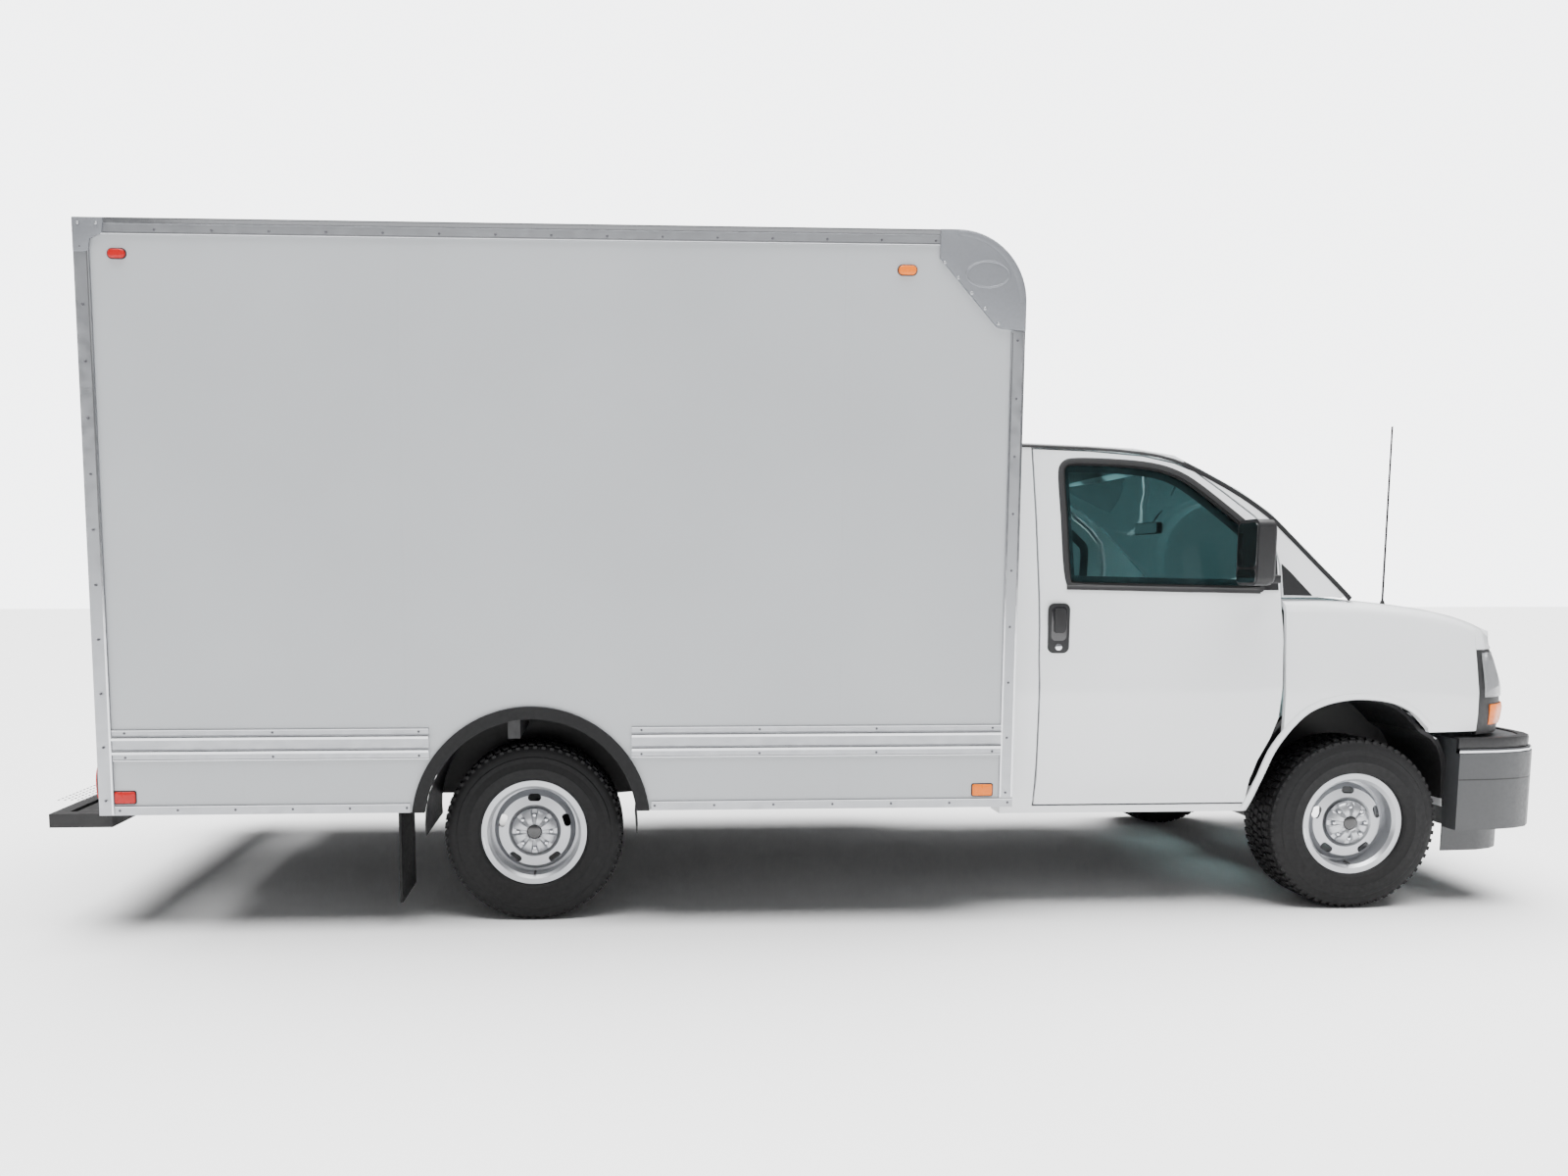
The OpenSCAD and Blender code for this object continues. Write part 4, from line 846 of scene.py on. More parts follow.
def facing_back(y0, y1, z0, z1, r, x0, x1):
    outline = rounded(y0, y1, z0, z1, r)
    return loft([[at(x, y, z) for y, z in outline] for x in (x0, x1)], closed=False)

left, right = both("mirror_housing", housing(), trim_black, doors, "black_plastic", angle=0.7)
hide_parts("mirror_left")
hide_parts("mirror_right")
both("mirror_glass", facing_back(1046, 1184, 1480, 1660, 22, -608.5, -604), looking_glass, doors,
    "wheel_silver")
both("mirror_glass_low", facing_back(1046, 1184, 1418, 1472, 18, -608.5, -604), looking_glass, doors,
    "wheel_silver")
arm = together([loft([[at(x, y, z) for x, z in rounded(-427, -409, 1414, 1449, 7, 3)] for y in (912, 960,
    1012)], closed=False), loft([[at(x, y, z) for y, z in rounded(1010, 1030, 1414, 1449, 7, 3)]
    for x in (-530, -470, -409)], closed=False)])
both("mirror_arm", arm, trim_black, doors, "black_plastic")
foot = patch_on_skin([(-436, 1400, 1462), (-428, 1396, 1466), (-404, 1396, 1466), (-396, 1400, 1462)], 6)
both("mirror_foot", foot, trim_black, doors, "black_plastic")
print("mirrors done")

# %% [markdown]
# ## Lamps, grille and bumper
# The corner lamps are a dark column with two lenses that wrap round the corner. A shell is built for
# each: rows up the column, stations from the side round to the front, pushed out by a few millimetres.

# %% Shell on the nose
def wrap(z0, z1, x0, out, deep, y_stop=606, rows=5, steps=16):
    """A lens over the left corner of the nose, from x0 on the side round to y_stop at the front."""
    outer, inner = [], []
    for r in range(rows + 1):
        z = z0 + (z1 - z0) * r / rows
        line, x = [], x0
        while x < 880 and half_width(x, z) > y_stop:
            line.append((x, half_width(x, z)))
            x += 6
        line.append((x, y_stop))
        length = [0]
        for a, b in zip(line, line[1:]):
            length.append(length[-1] + math.hypot(b[0] - a[0], b[1] - a[1]))
        row_out, row_in = [], []
        for s in range(steps + 1):
            want = length[-1] * s / steps
            i = max(1, next(k for k in range(len(length)) if length[k] >= want - 1e-6))
            t = (want - length[i - 1]) / ((length[i] - length[i - 1]) or 1)
            (ax, ay), (bx, by) = line[i - 1], line[i]
            size = math.hypot(bx - ax, by - ay) or 1
            nx, ny = -(by - ay) / size, (bx - ax) / size
            px, py = ax + (bx - ax) * t, ay + (by - ay) * t
            edge = 0.35 if s in (0, steps) or r in (0, rows) else 1
            row_out.append(at(px + nx * out * edge, py + ny * out * edge, z))
            row_in.append(at(px - nx * deep, py - ny * deep, z))
        outer.append(row_out)
        inner.append(row_in)
    rings = [[outer[r][s] for r in range(rows + 1)] + [inner[r][s] for r in range(rows, -1, -1)]
        for s in range(steps + 1)]
    return loft(rings, closed=False)

# %% Lamps
both("lamp_bowl", wrap(930, 1102, 602, 1.5, 4), chrome, chassis, "wheel_silver")
both("lamp_lens", wrap(918, 1110, 592, 7, 0), clear, chassis, "clear_plastic")
both("turn_lens", wrap(796, 886, 628, 6, 2), amber, chassis, "clear_plastic")
# The brow fills the corner between the lamp, the wing and the hood
def brow(x, count=10, thick=12):
    w = half_width(x, 1190)
    ry = min(85, 0.5 * w)
    yc = w - ry
    zc = hood_z(x, yc) - 62
    path = [(half_width(x, z), z) for z in (1126, 1145, 1165, 1185) if z < zc - 4]
    path += [(yc + ry * math.cos(math.radians(a)), zc + 62 * math.sin(math.radians(a))) for a in range(0,
        91, 9)]
    path = [p for p in path if p[0] > 792] + [(790, min(hood_z(x, 790), zc + 62))]
    length = [0]
    for a, b in zip(path, path[1:]):
        length.append(length[-1] + math.hypot(b[0] - a[0], b[1] - a[1]))
    ring = []
    for k in range(count):
        want = length[-1] * k / (count - 1)
        i = max(1, next(j for j in range(len(length)) if length[j] >= want - 1e-6))
        t = (want - length[i - 1]) / ((length[i] - length[i - 1]) or 1)
        ring.append((path[i - 1][0] + (path[i][0] - path[i - 1][0]) * t,
            path[i - 1][1] + (path[i][1] - path[i - 1][1]) * t))
    return [at(x, y, z) for y, z in ring] + [at(x, y - thick, z - thick * 0.7) for y, z in reversed(ring)]

brow_end = next(x for x in range(560, 900, 2) if half_width(x, 1190) < 800)
both("lamp_brow", loft([brow(556 + (brow_end - 556) * k / 10) for k in range(11)], closed=False), paint,
    chassis, "white_paint", angle=0.8)
print("brow ends at", brow_end)

def fascia_x(y, z):
    return 831 + 25 * (1 - (y / 600) ** 2) - 0.25 * max(0, z - 900) - 0.1 * max(0, 860 - z)

def grille_bar(z, tall, out, half=585):
    rings = []
    for k in range(25):
        y = -half + 2 * half * k / 24
        rings.append([at(fascia_x(y, z + dz) + dx, y, z + dz) for dx, dz in
            [(-3, -tall / 2), (out * 0.7, -tall / 2), (out, -tall / 4), (out, tall / 4),
            (out * 0.7, tall / 2), (-3, tall / 2)]])
    return loft(rings, closed=False)

for k, (z, tall, out) in enumerate([(1098, 26, 9), (1012, 14, 8), (938, 14, 8), (864, 14, 8),
    (790, 22, 9)]):
    piece("grille_bar_%d" % k, *grille_bar(z, tall, out), chrome if k in (0, 4) else trim_black, chassis,
        "bare_aluminium" if k in (0, 4) else "black_plastic")
bars = []
for k in range(23):
    y = -560 + k * 1120 / 22
    bars.append(loft([[at(fascia_x(y, z) + dx, y + dy, z) for dx,
        dy in [(-2, -4), (5, -4), (5, 4), (-2, 4)]]
        for z in range(802, 1091, 24)], closed=False))
piece("grille_slats", *together(bars), gloss_black, chassis, "black_plastic")
print("nose dressed")

# %% [markdown]
# The front bumper has a black pad on top, a bright strip at its foot, a grey face and a dark valance. Its
# plan is a wide curve, so each band is the same curve drawn in by a different amount.

# %% Bumper bands
half_plan = [(450, 985), (620, 975), (740, 950), (820, 915), (872, 865), (902, 800), (918, 700), (930, 500),
    (940, 250)]
def bumper_plan(inset):
    side = [(x - (inset if x > 850 else inset * max(0, (x - 620) / 230)), y - inset) for x, y in half_plan]
    return side + [(950 - inset, 0)] + [(x, -y) for x, y in reversed(side)]

def band(z0, z1, inset, thick=8, first=0, bulge=2.0):
    outer, inner = bumper_plan(inset), bumper_plan(inset + thick)
    stop = len(outer) - first
    rings = []
    for (x, y), (u, w) in list(zip(outer, inner))[first:stop]:
        d = (x - u) / thick, (y - w) / thick
        rings.append([at(u, w, z0), at(x - d[0] * bulge, y - d[1] * bulge, z0),
            at(x, y, z0 + (z1 - z0) * 0.25),
            at(x, y, z0 + (z1 - z0) * 0.75), at(x - d[0] * bulge, y - d[1] * bulge, z1), at(u, w, z1)])
    return loft(rings, closed=False)

piece("bumper_strip", *band(681, 699, 1.5, 24), chrome, chassis, "bare_aluminium", angle=0.5)
piece("bumper_pad", *band(700, 746, 10, 30), trim_black, chassis, "black_plastic", angle=0.5)
piece("bumper_crease", *band(560, 572, 0.0, 10, bulge=3), trim_black, chassis, "black_plastic", angle=0.5)
def intake(y_limit, z0, z1, out):
    rings = []
    for (x, y), (u, w) in zip(bumper_plan(-out), bumper_plan(10)):
        if abs(y) <= y_limit:
            rings.append([at(u, w, z0), at(x, y, z0), at(x, y, z1), at(u, w, z1)])
    return loft(rings, closed=False)
piece("bumper_intake", *intake(720, 420, 520, 0.8), gloss_black, chassis, "black_plastic", bevel=0.002)
slots = [slab((936 - abs(y) * 0.02, y, 600), (943 - abs(y) * 0.02, y + 120, 640)) for y in range(-300, 300,
    150)]
piece("bumper_slots", *together(slots), gloss_black, chassis, "black_plastic", bevel=0.002)
print("bumper dressed")

# %% [markdown]
# ## The load box
# The walls are thin sheets held by riveted aluminium rails. The rivets are set out along lines by
# Geometry Nodes: each line is measured, cut into steps of the real spacing, and a flattened dome of a few
# dozen faces is put at every step. The spacing and the head's size are inputs.

# %% Rivet tree
rivets, v_in, v_out, rivet_ids = tree_for("rivet_line", [("Spacing", "NodeSocketFloat", 0.21),
    ("Head", "NodeSocketVector", (0.006, 0.003, 0.006)), ("Material", "NodeSocketMaterial", None)])
line = add(rivets, "GeometryNodeMeshToCurve", [("Mesh", v_in.outputs["Geometry"])])
steps = rivets.nodes.new("GeometryNodeResampleCurve")
steps.mode = "LENGTH"
rivets.links.new(line.outputs[0], steps.inputs["Curve"])
rivets.links.new(v_in.outputs["Spacing"], steps.inputs["Length"])
dome = rivets.nodes.new("GeometryNodeMeshUVSphere")
dome.inputs["Segments"].default_value, dome.inputs["Rings"].default_value = 10, 6
dome.inputs["Radius"].default_value = 1.0
row = add(rivets, "GeometryNodeInstanceOnPoints",
    [("Points", steps.outputs[0]), ("Instance", dome.outputs[0]),
    ("Scale", v_in.outputs["Head"])])
solid = add(rivets, "GeometryNodeRealizeInstances", [("Geometry", row.outputs[0])])
tint = add(rivets, "GeometryNodeSetMaterial", [("Geometry", solid.outputs[0]),
    ("Material", v_in.outputs["Material"])])
rivets.links.new(tint.outputs[0], v_out.inputs["Geometry"])

def lines(paths):
    """A mesh of loose lines through the given points in metres."""
    verts, edges = [], []
    for path in paths:
        base = len(verts)
        verts += [tuple(p) for p in path]
        edges += [(base + i, base + i + 1) for i in range(len(path) - 1)]
    mesh = bpy.data.meshes.new("lines")
    mesh.from_pydata(verts, edges, [])
    return mesh

def rivet(name, paths, spacing, head, material, body):
    mesh = grown(name, rivets, rivet_ids, {"Spacing": spacing, "Head": head, "Material": material},
        lines(paths))
    obj = merged(name, [mesh], material, body, angle=1.2)
    print(name, len(obj.data.polygons), "faces")
    return obj

# %% Where the rails run, in millimetres from the front axle
box_front = -1552
box_rear = round((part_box("box_walls")[0][0] - front_x) * 1000) - 60
box_bottom = round(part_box("box_walls")[0][2] * 1000)
top = round(roof_top * 1000)
half = round(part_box("box_roof")[1][1] * 1000)
rail = half + 6
arch_reach = math.sqrt((440 + 46) ** 2 - (712 - arch_z) ** 2) + 4
left_of_arch, right_of_arch = -wheelbase - arch_reach, -wheelbase + arch_reach
print("box from", box_rear, "to", box_front, "top", top, "half width", half)

# %% Side rivets
dark = finish("rivet_dark", (0.10, 0.10, 0.11), (0.4, 0.55), 80, metal=0.6, dusty=0.0)
sides = []
for s in (1, -1):
    y = s * (rail + 0.5)
    sides += [[at(box_rear + 90, y, top - 44), at(-1920, y, top - 44)],
        [at(box_rear + 28, s * (rail + 4.5), box_bottom + 60),
        at(box_rear + 28, s * (rail + 4.5), top - 110)],
        [at(box_front - 30, y, box_bottom + 60), at(box_front - 30, y, top - 425)],
        [at(box_rear + 80, y, box_bottom + 19), at(-wheelbase - 500, y, box_bottom + 19)],
        [at(-wheelbase + 500, y, box_bottom + 19), at(box_front - 20, y, box_bottom + 19)]]
rivet("side_rivets", sides, 0.21, (0.0052, 0.003, 0.0052), dark, chassis)
rub = []
for s in (1, -1):
    for z in (726, 824):
        rub += [[at(box_rear + 110, s * (rail + 0.5), z), at(left_of_arch - 40, s * (rail + 0.5), z)],
            [at(right_of_arch + 40, s * (rail + 0.5), z), at(box_front - 90, s * (rail + 0.5), z)]]
rivet("rub_rail_rivets", rub, 0.42, (0.005, 0.003, 0.005), dark, chassis)
roof_lines = [[at(box_rear + 40, s * (half - 26), top + 0.2),
    at(box_front - 300, s * (half - 26), top + 0.2)] for s in (1, -1)]
rivet("roof_rivets", roof_lines, 0.105, (0.006, 0.006, 0.0025), rivet_metal, chassis)
front_lines = [[at(box_front + 0.3, s * (half - 30), 760),
    at(box_front + 0.3, s * (half - 30), top - 320)] for s in (1, -1)]
rivet("front_rivets", front_lines, 0.14, (0.0025, 0.006, 0.006), rivet_metal, chassis)
rear_lines = [[at(box_rear - 0.2, s * 1060, box_bottom + 60),
    at(box_rear - 0.2, s * 1060, top - 60)] for s in (1, -1)]
rear_lines += [[at(box_rear - 0.2, -980, top - 46), at(box_rear - 0.2, 980, top - 46)]]
rivet("rear_rivets", rear_lines, 0.21, (0.0025, 0.006, 0.006), rivet_metal, chassis)

# %% [markdown]
# The rails are extrusions with a rolled bead along them, which is what catches the light. Beads, bright
# ridges, panel joints and the cast corner caps are lofted pieces laid on the rails.

# %% Beads and ridges
def bead_section(width, out):
    """A bead's outline as (proud of the wall, across) pairs: flat on top, with sloped shoulders."""
    return [(-1, -width / 2), (out * 0.7, -width / 2), (out, -width / 4),
        (out, width / 4), (out * 0.7, width / 2), (-1, width / 2)]

def side_bead(x0, x1, z, tall, out, y0=None):
    y0 = rail if y0 is None else y0
    section = bead_section(tall, out)
    return loft([[at(x, y0 + proud, z + up) for proud, up in section] for x in (x0, x1)], closed=False)

def upright_bead(x, z0, z1, wide, out, y0=None):
    y0 = rail if y0 is None else y0
    section = bead_section(wide, out)
    return loft([[at(x + along, y0 + proud, z) for proud, along in section] for z in (z0, z1)],
        closed=False)

spans = [(box_rear + 62, left_of_arch - 1), (right_of_arch + 1, box_front - 57)]
beads = [side_bead(box_rear + 61, -1904, top - 12, 22, 2.5),
    side_bead(box_rear + 61, -1904, top - 58, 7, 2)]
for a, b in spans:
    beads += [side_bead(a, b, 715, 5, 2), side_bead(a, b, 835, 5, 2)]
    beads += [side_bead(a, b, 747, 15, 2.6, rail + 8), side_bead(a, b, 803, 15, 2.6, rail + 8)]
beads += [side_bead(box_rear + 62, -wheelbase - 488, box_bottom + 35, 5, 2),
    side_bead(-wheelbase + 488, box_front - 1,
    box_bottom + 35, 5, 2)]
beads += [upright_bead(box_front - 52, box_bottom + 42, top - 396, 6, 2),
    upright_bead(box_front - 5, box_bottom + 42,
    top - 396, 8, 2), upright_bead(box_rear + 55, box_bottom + 4, top - 80, 8, 2, rail + 4)]
both("rail_beads", together(beads), chrome, chassis, "bare_aluminium", angle=0.5)
# The joints take the box panels' grey, which is painted shade over white paint.
joints = [upright_bead(x, box_bottom + 40, 710, 26, 0.9, half) for x in (-4690, -2262)]
joints += [upright_bead(x, 842, top - 64, 26, 0.9, half) for x in (-4040, -2262)]
both("panel_joints", together(joints), shaded_panel_paint, chassis, "white_paint", angle=0.5)

# %% Cast corner caps
r, cx, cz = 280, box_front - 280, top - 280
curve = [(cx + r * math.cos(math.radians(a)), cz + r * math.sin(math.radians(a))) for a in range(90, -1,
    -5)]
cap_outline = curve + [(box_front, top - 390), (box_front - 100, top - 380), (box_front - 118, top - 372),
    (cx - 70, top - 110), (cx - 70, top)]
both("corner_cap", plate([(cx + (x - cx) * 0.995, cz + (z - cz) * 0.995) for x, z in cap_outline], rail - 2,
    rail + 6), casting, chassis, "bare_aluminium", bevel=0.0025)
edge_in = [(cx + (x - cx) * 0.90 - 6, cz + (z - cz) * 0.90 - 2) for x, z in curve]
rim_rings = []
for (x, z), (u, w) in zip(curve, edge_in):
    rim_rings.append([at(x - (x - cx) * 0.004, rail + 5, z - (z - cz) * 0.004),
        at(x - (x - cx) * 0.02, rail + 7.5,
        z - (z - cz) * 0.02), at(x - (x - cx) * 0.07, rail + 7.5, z - (z - cz) * 0.07), at(u, rail + 5, w)])
both("corner_cap_rim", loft(rim_rings, closed=False), casting, chassis, "bare_aluminium", angle=0.9)
oval = []
for k in range(40):
    a = math.tau * k / 40
    ox, oz = box_front - 158, top - 172
    oval.append([at(ox + (86 + d) * math.cos(a), rail + h, oz + (50 + d) * math.sin(a)) for d, h in
        [(-5, 5), (-4, 7), (0, 8), (4, 7), (5, 5)]])
both("corner_cap_oval", loft(oval), casting, chassis, "bare_aluminium", angle=1.2)
cap_lines = [[at(cx - 52, s * (rail + 6.4), top - 128),
    at(box_front - 112, s * (rail + 6.4), top - 362)] for s in (1, -1)]
rivet("cap_rivets", cap_lines, 0.072, (0.007, 0.003, 0.007), rivet_metal, chassis)
rear_cap = [(box_rear + 1, top - 1), (box_rear + 118, top - 1), (box_rear + 112, top - 58),
    (box_rear + 66, top - 80), (box_rear + 58, top - 128), (box_rear + 1, top - 128)]
both("rear_corner_cap", plate(rear_cap, rail - 1, rail + 6.5), casting, chassis, "bare_aluminium",
    bevel=0.003)
rear_dots = [[at(box_rear + 24, s * (rail + 7), top - 24),
    at(box_rear + 92, s * (rail + 7), top - 24)] for s in (1, -1)]
rivet("rear_cap_rivets", rear_dots, 0.06, (0.006, 0.003, 0.006), rivet_metal, chassis)

# %% [markdown]
# ## Marker lamps
# The side markers are low oval or oblong lenses in a dark base: red at the back and amber at the front,
# upper and lower. The rear frame carries three red lamps in the middle, one at each corner, and the tail
# lamps.

# %% Side markers
def lens(x0, x1, z0, z1, y0, out, radius):
    outline = rounded(x0, x1, z0, z1, radius, 6)
    mx, mz = (x0 + x1) / 2, (z0 + z1) / 2
    rings = []
    for grow, depth in [(1, -1), (1, out * 0.5), (0.93, out * 0.85), (0.75, out), (0.35, out * 1.06),
        (0.02, out * 1.08)]:
        rings.append([at(mx + (x - mx) * grow, y0 + depth, mz + (z - mz) * grow) for x, z in outline])
    return loft(rings, closed=False)

both("lower_red_marker", lens(-5183, -5101, 542, 589, half, 9, 8), red, chassis, "clear_plastic", angle=0.8)
both("lower_amber_marker", lens(-1720, -1637, 542, 589, half, 9, 8), amber, chassis, "clear_plastic",
    angle=0.8)
both("upper_red_marker", lens(-5116, -5050, 2653, 2687, half, 12, 16.5), red, chassis, "clear_plastic",
    angle=0.8)
both("upper_amber_marker", lens(-2066, -1994, 2628, 2664, half, 12, 17.5), amber, chassis, "clear_plastic",
    angle=0.8)
bases = together([lens(-5187, -5097, 538, 593, half, 3, 9), lens(-1724, -1633, 538, 593, half, 3, 9),
    lens(-5120, -5046, 2649, 2691, half, 3, 20), lens(-2070, -1990, 2624, 2668, half, 3, 21)])
both("marker_bases", bases, trim_black, chassis, "black_plastic", angle=0.8)
print("markers set")

# %% [markdown]
# ## The rear of the box
# Two swing doors meet in the middle. Each has an upright lock rod in guides with a cam at both ends, a
# folding handle on a keeper, hinge straps and a rubber seal. The step bumper has a raised tread, and the
# tail lamps sit low in the rear posts.

# %% Rods, handles and hinges
def pole(x, y, z0, z1, r, steps=16):
    rings = []
    for z in (z0, z1):
        rings.append([at(x + r * math.cos(math.tau * k / steps), y + r * math.sin(math.tau * k / steps), z)
            for k in range(steps)])
    return loft(rings, closed=False)

low_door, high_door = [v * 1000 for v in (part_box("cargo_door_left")[0][2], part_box("cargo_door_left")[1][2])]
face = box_rear + 8
cargo = ("cargo_door_left", "cargo_door_right")
rods = [pole(box_rear - 8, 250, low_door + 12, high_door - 12, 13.6)]
for z in (low_door + 36, high_door - 60):
    rods.append(slab((box_rear - 20, 236, z), (box_rear - 3, 264, z + 26)))
both("lock_rods", together(rods), steel, cargo, "grey_steel", angle=0.6)
guides = []
for z in (970, 1260, 1500, 2000, 2300, 2600):
    guides.append(slab((face - 2.5, 212, z), (face + 1, 288, z + 44)))
    guides.append(pole(face - 3, 222, z + 18, z + 26, 6, 8))
    guides.append(pole(face - 3, 278, z + 18, z + 26, 6, 8))
both("rod_guides", together(guides), rivet_metal, cargo, "grey_steel", bevel=0.0008)
handle = [slab((box_rear - 19, 80, 1312), (box_rear - 9, 262, 1334)),
    slab((box_rear - 21, 60, 1306), (box_rear - 7, 110, 1340)),
    slab((face - 6, 66, 1296), (face + 1, 104, 1350))]
both("door_handle_rear", together(handle), steel, cargo, "grey_steel", bevel=0.002)
straps = []
for z in (1055, 1808, 2561):
    straps.append(plate([(face - 3, z - 22), (face, z - 22), (face, z + 22), (face - 3, z + 22)], 790, 990))
both("hinge_straps", together(straps), rivet_metal, cargo, "grey_steel", bevel=0.001)
edge_seal = [slab((face - 4, 4, low_door + 2), (face + 2, 16, high_door - 2)),
    slab((face - 4, 16, low_door + 1), (face + 2, 985, low_door + 13)),
    slab((face - 4, 16, high_door - 13), (face + 2, 985, high_door - 1)),
    slab((face - 4, 985, low_door + 1), (face + 2, 997, high_door - 1))]
both("door_seals", together(edge_seal), seal, cargo, "black_rubber", bevel=0.001)
for s, body in ((1, "cargo_door_left"), (-1, "cargo_door_right")):
    paths = [[at(face - 0.3, s * y, low_door + 40), at(face - 0.3, s * y, high_door - 40)] for y in (40,
        500, 962)]
    rivet("door_rivets_" + body.split("_")[-1], paths, 0.25, (0.0025, 0.006, 0.006), rivet_metal, body)

# %% Tail lamps and rear markers
def facing_rear(y, z, ry, rz, x, out, steps=28):
    rings = []
    for grow, depth in [(1, -1), (1, out * 0.55), (0.92, out * 0.9), (0.6, out), (0.02, out * 1.04)]:
        rings.append([at(x - depth, y + ry * grow * math.cos(math.tau * k / steps),
            z + rz * grow * math.sin(math.tau * k / steps)) for k in range(steps)])
    return loft(rings, closed=False)

both("tail_lamp", facing_rear(1072, 620, 32, 76, box_rear, 14), red, chassis, "clear_plastic", angle=0.8)
both("tail_lamp_base", facing_rear(1072, 620, 36, 82, box_rear, 7), trim_black, chassis, "black_plastic",
    angle=0.8)
both("reversing_lamp", facing_rear(1072, 516, 17, 17, box_rear, 10), clear, chassis, "clear_plastic",
    angle=0.8)
both("corner_marker", facing_rear(1064, top - 46, 32, 13, box_rear, 10), red, chassis, "clear_plastic",
    angle=0.8)
middle = together([facing_rear(y, top - 22, 30, 12, box_rear, 10) for y in (-170, 0, 170)])
piece("middle_markers", *middle, red, chassis, "clear_plastic", angle=0.8)

# %% Step tread
tread_low, tread_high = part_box("rear_bumper")
step_x0, step_x1 = [round((v - front_x) * 1000) for v in (tread_low[0], tread_high[0])]
step_top = tread_high[2] * 1000
step_half = round(tread_high[1] * 1000)
print("step", step_x0, step_x1, "top", round(step_top), "half width", step_half)

# %% [markdown]
# ## Inside the cab
# Through the glass the cab is dark: grey door trims, a pale headliner, padded seats, a dashboard with a
# binnacle, and a small mirror hung from the windshield. The trims are offset copies of the outside skin,
# so they follow it.

# %% Trims
def inner_skin(outline_x, z0, z1, inset, thick=5, rows=10):
    rings = []
    for x in outline_x:
        low, high = (z0(x), z1(x))
        zs = [low + (high - low) * k / rows for k in range(rows + 1)]
        rings.append([at(x, half_width(x, z) - inset, z) for z in zs] + [at(x,
            half_width(x, z) - inset - thick, z)
            for z in reversed(zs)])
    return loft(rings, closed=False)

door_x = [-1392 + k * 1020 / 14 for k in range(15)]
both("door_trim", inner_skin(door_x, lambda x: max(492, 492 + max(0, x + 490) * 1.9), lambda x: 1366, 71,
    6), cabin_grey, doors, "black_plastic", angle=0.5)
frame_trim = softened(beside(window_outline, -24, True), 2)
both("window_frame_trim", strip(frame_trim, 44, 2, 3, closed=True, lift=lambda x, z: half_width(x, z) - 38),
    cabin_grey, doors, "black_plastic")
rest_x = [-1300, -1280, -1100, -900, -820, -800]
both("arm_rest", inner_skin(rest_x, lambda x: 1085, lambda x: 1135, 76, 42, 3), trim_black, doors,
    "black_plastic", bevel=0.008)
quarter = [-1549, -1500, -1460, -1424]
both("rear_pillar_trim", inner_skin(quarter, lambda x: 606, lambda x: 1960, 60, 4), cabin_grey, chassis,
    "black_plastic")
liner_rings = []
for k in range(11):
    x = -1546 + k * 78
    row = []
    for j in range(-8, 9):
        y = j / 8 * (half_width(x, roof_z(x, 780)) - 96)
        row.append((x, y, roof_z(x, y)))
    liner_rings.append([at(x, y, z - 34) for x, y, z in row] + [at(x, y, z - 38) for x, y,
        z in reversed(row)])
piece("headliner", *loft(liner_rings, closed=False), cabin_grey, chassis, "seat_fabric", angle=0.5)
back = plate([(-1550, 606), (-1544, 606), (-1544, 1960), (-1550, 1960)], -840, 840)
piece("cab_back_trim", *back, cabin_grey, chassis, "black_plastic")
mat = plate([(-1540, 600.5), (-500, 600.5), (-500, 606), (-1540, 606)], -835, 835)
piece("floor_mat", *mat, seal, chassis, "black_rubber")

# %% Dashboard and mirror
dials = together([loft([[at(-470 - d * 4, 390 + y + r * math.cos(math.tau * k / 24),
    1262 + r * math.sin(math.tau * k / 24))
    for k in range(24)] for d, r in ((0, 36), (1, 38), (1.2, 30), (0.4, 29))], closed=False) for y in (-60,
    60)])
piece("dash_dials", *dials, gloss_black, chassis, "black_plastic")
vents = together([slab((-446, y, 1175), (-438, y + 110, 1235)) for y in (-690, -150, 40, 590)])
piece("dash_vents", *vents, gloss_black, chassis, "black_plastic", bevel=0.002)
mirror_rings = []
for x, grow in [(-514, -6), (-510, 0), (-490, 0), (-480, -10), (-476, -22)]:
    mirror_rings.append([at(x, y, z) for y, z in rounded(-125 - grow, 125 + grow, 1652 - grow * 0.5,
        1712 + grow * 0.5, 14)])
piece("inside_mirror", *loft(mirror_rings, closed=False), trim_black, chassis, "black_plastic")
piece("inside_mirror_glass", *loft([[at(x, y, z) for y,
    z in rounded(-118, 118, 1657, 1707, 12)] for x in (-515, -512)],
    closed=False), looking_glass, chassis, "wheel_silver")
piece("inside_mirror_stem", *loft([[at(x + 5 * math.cos(a / 8 * math.tau), 5 * math.sin(a / 8 * math.tau),
    z)
    for a in range(8)] for x, z in ((-484, 1700), (-455, 1745), (-432, 1772))], closed=False), trim_black,
    chassis, "black_plastic")
print("cabin trimmed")

# %% [markdown]
# ## Seats
# A seat pad is a foam block under tight cloth: crowned in the middle, held in at its seams. Each pad
# starts as a plain block a little smaller than the real one, is remeshed evenly, and is blown up as cloth
# with a little pressure and no gravity. A cap on how far any point may move keeps it off its neighbours.
# The second seat is a copy of the first, so the simulation runs only three times.

